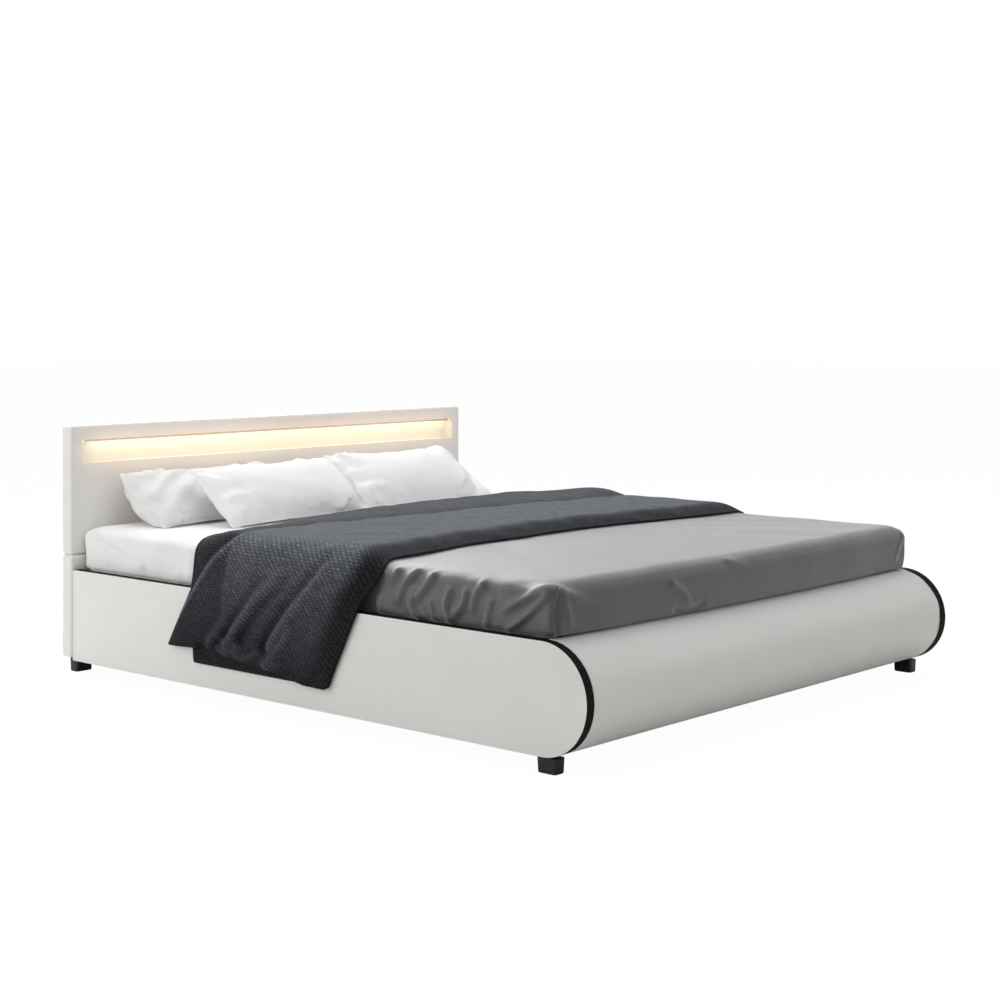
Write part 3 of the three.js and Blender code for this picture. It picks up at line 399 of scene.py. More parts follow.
def knit_material():
    """Chunky stitches: rows of loops, broken by slanting ribs, each stitch a little lighter or darker at
    random; light and shade from an attribute of the mesh are painted into the colour.
    """
    shade = Shade("slate_knit", 0.92, Specular_IOR_Level=0.12, Sheen_Weight=0.14, Sheen_Roughness=0.45)
    shade.set(Sheen_Tint=(0.72, 0.78, 0.9, 1))
    parts = shade.node("SeparateXYZ", Vector=shade.metres()).outputs
    uneven = shade.math("MULTIPLY", shade.noise(shade.place(), scale=110.0), KNIT_WANDER)
    row_place = shade.math("ADD", shade.math("DIVIDE", parts["X"], KNIT_ROW), uneven)
    loop_place = shade.math("DIVIDE", parts["Y"], KNIT_LOOP)
    loop_place = shade.math("SUBTRACT", shade.math("MULTIPLY", row_place, 0.5), loop_place)
    rows, ribs = (shade.math("POWER", shade.ridges(found, math.pi), KNIT_SHARPNESS)
                  for found in (row_place, loop_place))
    stitch_number = shade.node("CombineXYZ", X=shade.math("FLOOR", row_place),
                               Y=shade.math("FLOOR", loop_place)).outputs[0]
    own_tone = shade.node("TexWhiteNoise", Vector=stitch_number).outputs["Value"]
    stitch = shade.math("MULTIPLY", shade.between(rows, 0.08, 1.0), shade.between(ribs, 0.12, 1.0))
    lit_stitch = shade.math("MULTIPLY", stitch, shade.between(own_tone, 0.5, 1.5))
    yarn = shade.noise(shade.place(), scale=900.0)
    height = shade.math("ADD", stitch, shade.math("MULTIPLY", yarn, 0.25))
    # painted light and shade, from the mesh's attribute: 0 gives the shaded colours, 1 the lit ones
    light_and_shade = shade.node("Attribute", {"attribute_name": "light_and_shade"}).outputs["Fac"]
    dark = shade.mix(light_and_shade, KNIT_GAP_SHADED, KNIT_GAP_LIT)
    light = shade.mix(light_and_shade, KNIT_YARN_SHADED, KNIT_YARN_LIT)
    shade.paint(dark, light, lit_stitch)
    shade.set(Normal=shade.bump(height, distance=KNIT_RELIEF, strength=0.9))
    return shade.material


def wood_material(name, low, high, grain_scale, roughness=0.55):
    shade = Shade(name, roughness)
    place = shade.node("Mapping", Vector=shade.place(), Scale=grain_scale).outputs["Vector"]
    grain = shade.noise(place, scale=9.0, detail=5.0, roughness=0.6)
    shade.paint(low, high, grain)
    shade.set(Normal=shade.bump(grain, distance=0.4 * MM, strength=0.5))
    return shade.material


def speckled_material(name, low, high, roughness, scale, relief, metallic=0.0):
    """Moulded, cast or coated surfaces: a fine even texture."""
    shade = Shade(name, roughness, Metallic=metallic)
    place = shade.place()
    fine = shade.noise(place, scale, detail=3.0)
    shade.paint(low, high, shade.noise(place, scale / 12, detail=3.0))
    shade.set(Roughness=shade.between(fine, roughness - 0.08, roughness + 0.1))
    shade.set(Normal=shade.bump(fine, distance=relief, strength=0.5))
    return shade.material


def glow_material(name, colour, strength):
    shade = Shade(name, Base_Color=(*colour, 1))
    uneven = shade.noise(shade.place(), scale=40.0, detail=1.0)
    shade.set(Emission_Color=shade.mix(uneven, colour, tuple(0.94 * c for c in colour)))
    shade.set(Emission_Strength=strength)
    return shade.material


leather = leather_material("white_leather", (0.855, 0.838, 0.806), (0.918, 0.907, 0.88), roughness=0.42,
                           grain=1.0)
band_leather = leather_material("black_band", (0.007, 0.007, 0.0065), (0.011, 0.011, 0.010), roughness=0.6,
                                grain=0.7, specular=0.08)
black_plastic = speckled_material("black_plastic", (0.010, 0.010, 0.010), (0.016, 0.016, 0.016),
                                  roughness=0.42, scale=1800.0, relief=0.08 * MM)
lacquer = speckled_material("white_lacquer", (0.86, 0.85, 0.82), (0.90, 0.89, 0.86), roughness=0.4,
                            scale=900.0, relief=0.03 * MM)
plywood = wood_material("plywood", (0.50, 0.34, 0.18), (0.66, 0.49, 0.29), (1.0, 9.0, 30.0))
beech = wood_material("beech", (0.58, 0.40, 0.24), (0.74, 0.56, 0.37), (1.2, 22.0, 22.0), roughness=0.45)
black_cloth = speckled_material("black_cloth", (0.014, 0.014, 0.016), (0.026, 0.026, 0.029), roughness=0.9,
                                scale=700.0, relief=0.4 * MM)
steel = speckled_material("dark_steel", (0.030, 0.031, 0.033), (0.045, 0.046, 0.048), roughness=0.42,
                          scale=1300.0, relief=0.04 * MM, metallic=0.35)
zinc = speckled_material("zinc", (0.42, 0.43, 0.45), (0.55, 0.56, 0.58), roughness=0.32, scale=500.0,
                         relief=0.03 * MM, metallic=0.95)
aluminium = speckled_material("aluminium", (0.55, 0.56, 0.57), (0.64, 0.65, 0.66), roughness=0.32,
                              scale=600.0, relief=0.03 * MM, metallic=0.9)
WARM = (1.0, 0.87, 0.56)
glow = glow_material("led_glow", WARM, strength=0.95)
led_tape = glow_material("led_tape", WARM, strength=2.0)
COTTON = dict(roughness=0.75, pitch=1.1 * MM, sheen=0.05, unevenness=1.2 * MM)
ticking = cloth_material("ticking", (0.72, 0.72, 0.70), (0.80, 0.80, 0.78), roughness=0.85, pitch=1.6 * MM,
                         sheen=0.1, unevenness=4 * MM)
white_cotton = cloth_material("white_cotton", (0.92, 0.92, 0.915), (0.95, 0.95, 0.945), **COTTON)
# the pillows' cotton is the sheet's white cotton made darker: painted shade that holds back the extra light
# on the pillows
shaded_pillow_cotton = cloth_material("shaded_pillow_cotton", (0.84, 0.838, 0.832), (0.885, 0.883, 0.877), **COTTON)
grey_satin = cloth_material("grey_satin", (0.041, 0.0435, 0.045), (0.051, 0.0535, 0.055), roughness=0.38,
                            pitch=0.9 * MM, sheen=1.0, unevenness=1.2 * MM, specular=1.0)
slate_knit = knit_material()

# CAD pieces that stay, with their finish and slightly eased edges. Each finish goes to the nodes whose
# names start so.

NODE_LOOKS = (
    (plywood, ("side_rail_left", "side_rail_right", "headboard_upper_core", "headboard_lower_core",
               "headboard_batten", "footboard_board", "footboard_former", "footboard_skin")),
    (beech, ("slat_ledge", "slat_mat")),
    (steel, ("corner_bracket", "centre_beam", "beam_hanger", "centre_leg")),
    (black_plastic, ("led_driver", "led_lead", "dc_inlet", "foot_")),
    (black_cloth, ("headboard_back_panel",)),
    (band_leather, ("side_rail_band",)),
    (lacquer, ("light_trough",)),
    (aluminium, ("led_channel",)),
    (led_tape, ("led_strip",)),
    (glow, ("led_diffuser",)),
    (zinc, ("bolt_",)),
)
EDGE_EASING = 0.6 * MM
EASED_FROM = math.radians(40)


for node_name, node_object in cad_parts.items():
    for look, starts in NODE_LOOKS:
        if node_name.startswith(starts):
            node_object.data.materials.clear()
            node_object.data.materials.append(look)
            modifier(node_object, "BEVEL", width=EDGE_EASING, segments=2, limit_method="ANGLE",
                     angle_limit=EASED_FROM, harden_normals=False)

# Leather covers of the headboard. The opening is the recess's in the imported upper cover.

PANEL_ROUNDING = 0.012
LEAST_ROUNDING = 0.1 * MM
OPENING_ROUNDING = 0.6 * MM
PADDING = 0.008
OPENING_HALF = 0.905
OPENING_LOW = 0.696
OPENING_HIGH = 0.773
PANEL_COUNTS = (150, 30, 8)
BACK_STEPS = 6
ROUND_STEPS = 8
FACE_STEPS = 8
LIP_STEPS = 5
SPINE_STEPS = 12
FOAM_FADE = 0.004
FOAM_RELIEF = 0.6 * MM
FOAM_WAVE = 0.45
PANEL_MERGE = 0.02 * MM
# seeds of the soft unevenness, one for each use
PANEL_SEED = 3
RAIL_SEED = 11
FITTED_SEED = 21
FITTED_WAVE_SEED = 22
FLAT_SEED = 5
SIDE_WAVE_SEED = 51
THROW_SEED = 31
CASE_SEEDS_FROM = 40
FLUTTER_SEEDS_FROM = 60


def panel_ring(half, z0, z1, inset, radius, y):
    flat = rounded_ring(-half + inset, half - inset, z0 + inset, z1 - inset, radius, *PANEL_COUNTS)
    return np.stack([flat[:, 0], np.full(len(flat), y), flat[:, 1]], axis=1)


def rings_between(first, last, steps):
    return [first + (last - first) * step / steps for step in range(1, steps + 1)]


def quarter_turn(steps):
    return [step / steps * math.pi / 2 for step in range(1, steps + 1)]


def half_turn(count):
    return np.linspace(math.pi / 2, 3 * math.pi / 2, count)


def headboard_cover(name, node, z0, z1, opening):
    half, back = board_high[:2]
    panel = (half, z0, z1)
    rings = [panel_ring(*panel, 0, PANEL_ROUNDING, back)]
    rings += rings_between(rings[0], panel_ring(*panel, 0, PANEL_ROUNDING, HEAD_Y + PANEL_ROUNDING),
                           BACK_STEPS)
    for angle in quarter_turn(ROUND_STEPS):
        inset = PANEL_ROUNDING * (1 - math.cos(angle))
        rings.append(panel_ring(*panel, inset, max(PANEL_ROUNDING - inset, LEAST_ROUNDING),
                                HEAD_Y + PANEL_ROUNDING * (1 - math.sin(angle))))
    flat_edge = rings[-1]
    if opening:
        lip = (OPENING_HALF + OPENING_ROUNDING, OPENING_LOW - OPENING_ROUNDING,
               OPENING_HIGH + OPENING_ROUNDING)
        rings += rings_between(flat_edge, panel_ring(*lip, 0, OPENING_ROUNDING, HEAD_Y), FACE_STEPS)
        for angle in quarter_turn(LIP_STEPS):
            rings.append(panel_ring(*lip, OPENING_ROUNDING * math.sin(angle), OPENING_ROUNDING,
                                    HEAD_Y + OPENING_ROUNDING * (1 - math.cos(angle))))
        rings.append(rings[-1] * (1, 0, 1) + (0, HEAD_Y + PADDING, 0))
    else:
        middle = np.array([0, HEAD_Y, (z0 + z1) / 2])
        reach = half - (z1 - z0) / 2
        spine = middle + np.array([reach, 0, 0]) * np.clip(flat_edge[:, :1] / reach, -1, 1)
        rings += rings_between(flat_edge, spine, SPINE_STEPS)
    points = np.stack(rings)
    # slight softness of the foam under the leather, only on the front
    front = np.clip((HEAD_Y + FOAM_FADE - points[..., 1]) / FOAM_FADE, 0, 1)
    points[..., 1] += front * FOAM_RELIEF * (waves(points * (1, 0, 1), PANEL_SEED, FOAM_WAVE) + 1)
    count = points.shape[1]
    ring = np.arange(count)
    faces = list(grid_faces(len(rings), count, wrap=True))
    flat = points.reshape(-1, 3)
    if opening:
        start = len(flat)
        inside = [panel_ring(*panel, PADDING, PANEL_ROUNDING / 2, y) for y in (HEAD_Y + PADDING, back)]
        flat = np.concatenate([flat, *inside])
        faces += list(bridge(start - count + ring, start + ring))
        faces += list(grid_faces(2, count, wrap=True, start=start))
        faces += list(bridge(start + count + ring, ring))
    else:
        faces.append(ring[::-1])
    cover = piece(make_object(name, flat, faces, merge=PANEL_MERGE), leather, "leather", node)


SEAM_GAP = 0.15 * MM
headboard_cover("headboard_leather_upper", "headboard_upper_cover", board_low[2] + SEAM_GAP, board_high[2],
                True)
headboard_cover("headboard_leather_lower", "headboard_lower_cover", lower_low[2], lower_high[2] - SEAM_GAP,
                False)

# Leather faces of the side rails: straight, with a half-round foot end

RAIL_FACE_ROUNDING = 0.8 * MM
RAIL_STRAIGHT_COUNT = 60
RAIL_TURN_COUNT = 61
RAIL_EDGE_COUNT = 7
RAIL_INSET_SHARES = np.linspace(0.04, 1, 16)
RAIL_SOFT_FROM = 0.03
RAIL_RELIEF = 0.2 * MM
RAIL_WAVE = 0.7
RAIL_MERGE = 0.01 * MM
NO_EDGE = 0.001 * MM


def rail_face(name, node, side):
    straight = np.linspace(HEAD_Y - SEAT_GAP, ROLL_Y, RAIL_STRAIGHT_COUNT)[:-1]
    path = [(y, ROLL_Z, 0, 1) for y in straight]
    path += [(ROLL_Y, ROLL_Z, math.cos(a), math.sin(a)) for a in half_turn(RAIL_TURN_COUNT)]
    path += [(y, ROLL_Z, 0, -1) for y in straight[::-1]]
    path = np.array(path)
    turn = np.linspace(0, math.pi / 2, RAIL_EDGE_COUNT)[::-1]
    levels = [(0.0, RAIL_OUTER - RAIL_COVER_BACK)]
    levels += zip(RAIL_FACE_ROUNDING * (1 - np.sin(turn)), RAIL_FACE_ROUNDING * (1 - np.cos(turn)))
    levels += [(RAIL_RADIUS * share, 0.0) for share in RAIL_INSET_SHARES]
    rows = []
    for inset, drop in levels:
        y, z = (path[:, :2] + (RAIL_RADIUS - inset) * path[:, 2:]).T
        rows.append(np.stack([np.full(len(path), RAIL_OUTER - drop), y, z], axis=1))
    points = np.stack(rows)
    soft = ease(np.array([inset for inset, _ in levels]) / RAIL_SOFT_FROM)[:, None]
    points[..., 0] += soft * RAIL_RELIEF * (waves(points * (0, 1, 1), RAIL_SEED, RAIL_WAVE) - 1)
    back = np.insert(path[:, :2], 0, RAIL_COVER_BACK, axis=1)
    flat = np.concatenate([points.reshape(-1, 3), back])
    count = len(path)
    start = len(levels) * count
    index = np.arange(count - 1)
    faces = list(grid_faces(len(levels), count))
    faces += list(np.stack([index, start + index, start + index + 1, index + 1], axis=1))
    flat[:, 0] *= side
    obj = make_object(name, flat, faces, merge=RAIL_MERGE)
    # what is left open at the square ends is closed
    rework(obj.data,
           lambda work: bmesh.ops.dissolve_degenerate(work, dist=NO_EDGE, edges=work.edges),
           lambda work: bmesh.ops.holes_fill(work, edges=[e for e in work.edges if e.is_boundary], sides=0))
    smooth(obj.data)
    piece(obj, leather, "leather", node)
    modifier(obj, "WEIGHTED_NORMAL", keep_sharp=True)


for side_name, side in (("left", -1), ("right", 1)):
    rail_face(f"rail_leather_{side_name}", f"side_rail_cover_{side_name}", side)

# Leather round the footboard's roll

ROLL_RADIUS = ROLL_Y - roll_low[1]
ROLL_HALF = roll_high[0]
ROLL_LAP = 0.035
ROLL_LAP_EDGE = 0.004
ROLL_LAP_THICKNESS = 0.002
ROLL_TUCK = 0.006
ROLL_DRAW_IN = 2.2 * MM
ROLL_SWELL = 1.1 * MM
ROLL_END_DRAW = 1.6 * MM
ROLL_COLUMNS = 181
ROLL_ROWS = 97
# size, rate and shift of the bands along the roll, and size, rate and slant of their drift across it
ROLL_BANDS = ((0.9, 5, 0.4), (0.6, 9, 1.3))
ROLL_DRIFTS = ((0.5, 2.1, 2.5), (0.3, 4.7, -1.2))
FADE_RATE = 4
FADE_LEAST = 0.15


def roll_cover():
    columns = ROLL_HALF * np.linspace(-1, 1, ROLL_COLUMNS)
    lap_y = ROLL_Y + SEAT_GAP + ROLL_LAP_THICKNESS
    laps = (ROLL_RADIUS - ROLL_LAP, ROLL_RADIUS - ROLL_LAP / 2, ROLL_RADIUS - ROLL_LAP_EDGE)
    top = [np.tile((lap_y, ROLL_Z + z), (ROLL_COLUMNS, 1)) for z in laps]
    bottom = [np.stack([r[:, 0], 2 * ROLL_Z - r[:, 1]], axis=1) for r in top[::-1]]
    profile = []
    for a in half_turn(ROLL_ROWS):
        # the padding swells in soft bands along the roll and draws in at its ends
        band = sum(size * math.sin(rate * a + shift) for size, rate, shift in ROLL_BANDS)
        drift = sum(np.sin(columns * rate + slant * a) * size for size, rate, slant in ROLL_DRIFTS)
        tuck = np.exp(-(ROLL_HALF - np.abs(columns)) / ROLL_TUCK)
        change = ROLL_SWELL * (band + drift) - ROLL_DRAW_IN - ROLL_END_DRAW * tuck
        radius = ROLL_RADIUS + change * min(1.0, FADE_LEAST - FADE_RATE * math.cos(a))
        profile.append(np.stack([ROLL_Y + radius * math.cos(a), ROLL_Z + radius * math.sin(a)], axis=1))
    section = np.stack(top + profile + bottom)
    points = np.concatenate([np.broadcast_to(columns[None, :, None], (*section.shape[:2], 1)), section],
                            axis=2)
    obj = make_object("roll_leather", points, grid_faces(*points.shape[:2]))
    modifier(obj, "SOLIDIFY", thickness=ROLL_LAP_THICKNESS, offset=-1)
    piece(obj, leather, "leather", "footboard_cover")


roll_cover()

# Mattress form, shared by the mattress and its sheets

CORNER = 0.030
SHOULDER = 0.064
SHOULDER_DROP = 0.030
SIDE_BULGE = 0.006
END_BULGE = 0.016
FREE_Z = RAIL_TOP + RAIL_CLEARANCE
BULGE_SHARE = 0.85
BULGE_HEIGHT = 0.008
BULGE_RISES = (0.0012, 0.0026, 0.0045, 0.008)
LOW_STEP_PART = 6


def form_levels(grow, bottom, side_steps, shoulder_steps):
    """Height, inset and swelling of each ring, from the lower edge up to the flat top."""
    top = MATTRESS_TOP + grow
    shoulder = top - SHOULDER_DROP
    levels = []
    low_steps = side_steps // LOW_STEP_PART
    heights = list(np.linspace(bottom, FREE_Z, low_steps + 1))
    heights += [FREE_Z + rise for rise in BULGE_RISES]
    heights += list(np.linspace(FREE_Z + BULGE_HEIGHT, shoulder, side_steps - low_steps))[1:-1]
    for z in heights:
        quick_part = math.sin(min(max((z - FREE_Z) / BULGE_HEIGHT, 0), 1) * math.pi / 2)
        slow_part = ease((z - FREE_Z) / ((shoulder - FREE_Z) / 2))
        levels.append((z, 0.0, BULGE_SHARE * quick_part + (1 - BULGE_SHARE) * slow_part))
    for angle in np.linspace(0, math.pi / 2, shoulder_steps):
        levels.append((top - SHOULDER_DROP * (1 - math.sin(angle)), SHOULDER * (1 - math.cos(angle)), 1.0))
    return levels


def form_ring(z, inset, swell, grow, puff, counts, bow=0.0):
    x = MATTRESS_HALF + grow - inset + swell * SIDE_BULGE
    reach = MATTRESS_REACH + grow - inset + swell * END_BULGE
    flat = rounded_ring(-x, x, MATTRESS_MIDDLE - reach - swell * puff, MATTRESS_MIDDLE + reach,
                        CORNER, *counts)
    on_foot = flat[:, 1] < MATTRESS_MIDDLE - reach + CORNER
    flat[:, 1] -= on_foot * swell * bow * np.clip(1 - (flat[:, 0] / (x - CORNER)) ** 2, 0, 1)
    return np.column_stack([flat, np.full(len(flat), z)])


def form_surface(grow, bottom, side_steps, shoulder_steps, counts, puff=0.0, bow=0.0):
    levels = form_levels(grow, bottom, side_steps, shoulder_steps)
    return np.stack([form_ring(*level, grow, puff, counts, bow) for level in levels])


def ring_normals(points, closed):
    """Outward directions of a surface whose rows go round the form and rise from row to row."""
    if closed:
        along = np.roll(points, -1, axis=1) - np.roll(points, 1, axis=1)
    else:
        along = np.gradient(points, axis=1)
    up = np.gradient(points, axis=0)
    return unit(np.cross(along, up))


def add_top(points, centre, shares):
    """Rows that shrink the last row towards a centre on the flat top."""
    last = points[-1]
    middle = np.array([*centre, last[:, 2].mean()])
    rows = [middle + (last - middle) * s for s in shares]
    return np.concatenate([points, np.stack(rows)])


TOP_CLOSING = 0.999


def top_shares(steps, first):
    t = np.arange(1, steps + 1) / steps
    return 1 - (first * t + (1 - first) * t ** 2) * TOP_CLOSING


# Mattress, with a piped lower edge

PIPING = 0.006
MATTRESS_GROW = -0.5 * MM
# steps up the side and round the shoulder, and along, across and round the corners
MATTRESS_STEPS = (16, 8, (40, 44, 6))
MATTRESS_TOP_STEPS = (6, 0.3)
BOTTOM_SHARES = (0.02, 0.5, 0.97, 0.988)
mattress_points = form_surface(MATTRESS_GROW, MATTRESS_BOTTOM + SEAT_GAP, *MATTRESS_STEPS)
low_ring = mattress_points[0]
low_centre = np.array([0, MATTRESS_MIDDLE, low_ring[0, 2]])
bottom_rows = [low_centre + (low_ring - low_centre) * share for share in BOTTOM_SHARES]
mattress_points[0] = low_ring + (0, 0, PIPING)
mattress_points = np.concatenate([bottom_rows, mattress_points])
mattress_points = add_top(mattress_points, (0, MATTRESS_MIDDLE), top_shares(*MATTRESS_TOP_STEPS))
mattress_uv = (mattress_points[..., :2] + mattress_points[..., 2:]).reshape(-1, 2)
mattress = closed_form("mattress_body", mattress_points, mattress_uv, bottom=True)
piece(mattress, ticking, "ticking", "mattress")

# Fitted sheet, white, with creases on its near side

HEM_RISE = 0.004
HEM_Z = MATTRESS_BOTTOM + HEM_RISE
FITTED_GROW = 2.4 * MM
FITTED_STEPS = (26, 12, (90, 170, 10))
FITTED_TOP_STEPS = (14, 0.25)
SHEET_THICKNESS = 1.4 * MM
FITTED_CREASES = [
    ([(0.983, 0.470), (0.931, 0.382)], 0.016, 0.003, 0.001),
    ([(0.990, 0.474), (0.86, 0.440), (0.76, 0.370)], 0.014, 0.003, 0.001),
    ([(0.828, 0.470), (0.738, 0.386)], 0.012, 0.002, 0.004),
    ([(0.688, 0.452), (0.659, 0.381), (0.639, 0.346)], 0.010, 0.001, 0.005),
    ([(0.590, 0.455), (0.560, 0.385), (0.555, 0.350)], 0.012, 0.001, 0.005),
    ([(0.505, 0.450), (0.500, 0.380), (0.510, 0.350)], 0.012, 0.001, 0.004),
]
CREASE_X = -0.908
CREASE_STRENGTH = 3.4
FITTED_UNEVEN = 1.2 * MM
FITTED_UNEVEN_SIZE = 0.11
FITTED_WAVE = 3 * MM
FITTED_WAVE_SIZE = 0.12
FITTED_WAVE_STRETCH = (1, 1, 0.2)
# where a share starts to rise, over the rail, the mattress's top or the frame's middle, and how far on
# it is full, downwards or footwards if negative
ABOVE_RAIL = (-0.01, 0.05)
BELOW_TOP = (-0.004, -0.02)
UNDER_GREY = (0.30, -0.1)


def sheet_uv(points):
    """Distances along and across the cloth, in metres, for its weave."""
    return np.stack([run_length(points, 1), run_length(points, 0)], axis=2).reshape(-1, 2)


def rising(value, start, distance):
    """Share that rises softly from 0 at the start to 1 at a distance from it, negative or positive."""
    return ease((value - start) / distance)


fitted_points = form_surface(FITTED_GROW, HEM_Z, *FITTED_STEPS)
fitted_z = fitted_points[..., 2]
fitted_lift = CREASE_STRENGTH * ridge_field(fitted_points, in_plane(FITTED_CREASES, 0, CREASE_X))
fitted_lift += FITTED_UNEVEN * (1 + waves(fitted_points, FITTED_SEED, FITTED_UNEVEN_SIZE))
fitted_lift += (FITTED_WAVE * rising(fitted_z - MATTRESS_TOP, *BELOW_TOP)
                * waves(fitted_points * FITTED_WAVE_STRETCH, FITTED_WAVE_SEED, FITTED_WAVE_SIZE))
fitted_lift = np.maximum(fitted_lift, 0) * rising(fitted_z - RAIL_TOP, *ABOVE_RAIL)
fitted_lift *= 1 - rising(fitted_points[..., 1], *UNDER_GREY)
fitted_points = fitted_points + ring_normals(fitted_points, True) * fitted_lift[..., None]
fitted_points = add_top(fitted_points, (0, MATTRESS_MIDDLE), top_shares(*FITTED_TOP_STEPS))
fitted = closed_form("sheet_fitted", fitted_points, sheet_uv(fitted_points))
modifier(fitted, "SOLIDIFY", thickness=SHEET_THICKNESS, offset=-1)
piece(fitted, white_cotton, "white_cotton", "fitted_sheet")

# Grey flat sheet over the foot half, tucked in, with a folded corner and wrinkles

FLAT_GROW = 6.2 * MM
FLAT_PUFF = 0.026
FLAT_BOW = 0.016
FLAT_HEAD_EDGE = 0.18
FOOT_START = -0.955
FOOT_BLEND = 0.030
FOOT_DROP = 0.016
ROLL_GAP = 0.003
SIDE_STRENGTH = 3.1
FOOT_STRENGTH = 1.5
MOST_LIFT = 0.020
LEAST_LIFT = -0.004
FLAT_THICKNESS = 1.2 * MM
FLAT_STEPS = (60, 18, (230, 330, 18))
FLAT_TOP_STEPS = (16, 0.2)
SIDE_WAVE = 2.4 * MM
SIDE_WAVE_SIZE = 0.10
FLAT_UNEVEN = 1.2 * MM
FLAT_UNEVEN_SIZE = 0.30
SAME_LEVEL = 0.1 * MM
SIDE_WAVE_STRETCH = (0, 1, 0.35)
# where a share starts to rise, over the rail or as a part of a normal, and how far on it is full
FREE_OF_RAIL = (-0.012, 0.035)
FACING = (0.25, 0.4)
# heights, and how far the throw covers the sheet's side there; beyond it the sheet is soon in the open
UNDER_THROW = ((0.33, 0.36, 0.44, 0.49), (-0.27, -0.29, -0.37, -0.38))
OPEN_DISTANCE = 0.04
# each wrinkle: its line, half width, and height at its start and at its end
FLAT_SIDE_WRINKLES = [
    ([(-0.415, 0.470), (-0.388, 0.440)], 0.011, 0.004, 0.002),
    ([(-0.492, 0.479), (-0.447, 0.441), (-0.421, 0.392)], 0.012, 0.005, 0.003),
    ([(-0.555, 0.468), (-0.499, 0.409)], 0.012, 0.005, 0.003),
    ([(-0.479, 0.421), (-0.467, 0.378), (-0.499, 0.349)], 0.012, 0.003, 0.005),
    ([(-0.618, 0.435), (-0.600, 0.392), (-0.618, 0.358)], 0.012, 0.003, 0.005),
    ([(-0.680, 0.436), (-0.668, 0.403), (-0.643, 0.378)], 0.012, 0.004, 0.004),
    ([(-0.740, 0.460), (-0.716, 0.440), (-0.704, 0.398)], 0.012, 0.004, 0.003),
    ([(-0.992, 0.480), (-0.922, 0.456), (-0.870, 0.433), (-0.824, 0.406)], 0.010, 0.010, 0.002),
    ([(-0.980, 0.466), (-0.939, 0.427), (-0.882, 0.386), (-0.829, 0.350)], 0.009, 0.008, 0.003),
    ([(-0.350, 0.462), (-0.338, 0.400), (-0.352, 0.350)], 0.010, 0.003, 0.003),
    ([(-0.546, 0.395), (-0.560, 0.352)], 0.009, 0.003, 0.003),
    ([(-0.770, 0.420), (-0.752, 0.356)], 0.011, 0.002, 0.003),
]
FLAT_FOOT_WRINKLES = [
    ([(-0.903, 0.481), (-0.855, 0.448), (-0.762, 0.425)], 0.016, 0.009, 0.001),
    ([(-0.900, 0.470), (-0.868, 0.420), (-0.852, 0.370)], 0.012, 0.005, 0.001),
    ([(-0.427, 0.440), (-0.369, 0.408), (-0.352, 0.383)], 0.012, 0.004, 0.002),
    ([(-0.138, 0.476), (-0.063, 0.455)], 0.012, 0.003, 0.001),
    ([(-0.400, 0.362), (-0.334, 0.352), (-0.282, 0.366)], 0.012, -0.004, -0.003),
    ([(0.905, 0.474), (0.860, 0.432), (0.828, 0.385)], 0.011, 0.003, 0.001),
    ([(0.904, 0.468), (0.893, 0.410), (0.897, 0.356)], 0.011, 0.002, 0.001),
]

flat_full = form_surface(FLAT_GROW, HEM_Z, *FLAT_STEPS, FLAT_PUFF, FLAT_BOW)
# the part from the head edge on one side, round the foot, to the head edge on the other
flat_keep = np.nonzero(flat_full[0, :, 1] < FLAT_HEAD_EDGE)[0]
flat_breaks = np.diff(flat_keep) > 1
flat_keep = np.roll(flat_keep, -(np.argmax(flat_breaks) + 1) if flat_breaks.any() else 0)
flat_points = flat_full[:, flat_keep]

# at the foot the shoulder is rounder and lower, and the sheet lies on the roll
flat_top = MATTRESS_TOP + FLAT_GROW
flat_y = flat_points[..., 1]
flat_z = flat_points[..., 2]
foot_share = ease((FOOT_START - flat_y) / FOOT_BLEND)
from_top = np.clip((flat_top - flat_z) / SHOULDER_DROP, 0, 1)
to_rail = np.clip((flat_z - FREE_Z) / (flat_top - SHOULDER_DROP - FREE_Z), 0, 1)
shoulder_sag = FOOT_DROP * foot_share * np.minimum(from_top, to_rail)
over_roll = np.clip(ROLL_Y - flat_y, 0, ROLL_RADIUS)
roll_top = ROLL_Z + np.sqrt(ROLL_RADIUS ** 2 - over_roll ** 2) + ROLL_GAP
hem_sag = (FREE_Z - roll_top) * np.clip((flat_top - flat_z) / (flat_top - FREE_Z), 0, 1)
hem_sag *= (flat_z > FREE_Z - SAME_LEVEL) & (flat_y < FOOT_START)
flat_points[..., 2] -= shoulder_sag + hem_sag
flat_x = flat_points[..., 0]
flat_normals = ring_normals(flat_points, False)
free_share = rising(flat_z - RAIL_TOP, *FREE_OF_RAIL)
side_mask = rising(-flat_normals[..., 0], *FACING) + rising(flat_normals[..., 0], *FACING)
foot_mask = rising(-flat_normals[..., 1], *FACING)
throw_edge_y = np.interp(flat_z, *UNDER_THROW)
in_open = ease((throw_edge_y - flat_y) / OPEN_DISTANCE)
flat_lift = SIDE_STRENGTH * ridge_field(flat_points * (0, 1, 1), in_plane(FLAT_SIDE_WRINKLES, 0))
flat_lift *= side_mask * (flat_x < 0) * in_open
side_waves = waves(flat_points * SIDE_WAVE_STRETCH, SIDE_WAVE_SEED, SIDE_WAVE_SIZE)
flat_lift += SIDE_WAVE * side_waves * side_mask * in_open
foot_relief = ridge_field(flat_points * (1, 0, 1), in_plane(FLAT_FOOT_WRINKLES, 1))
flat_lift += FOOT_STRENGTH * foot_relief * foot_mask
flat_lift += FLAT_UNEVEN * (1 + waves(flat_points, FLAT_SEED, FLAT_UNEVEN_SIZE)) * free_share

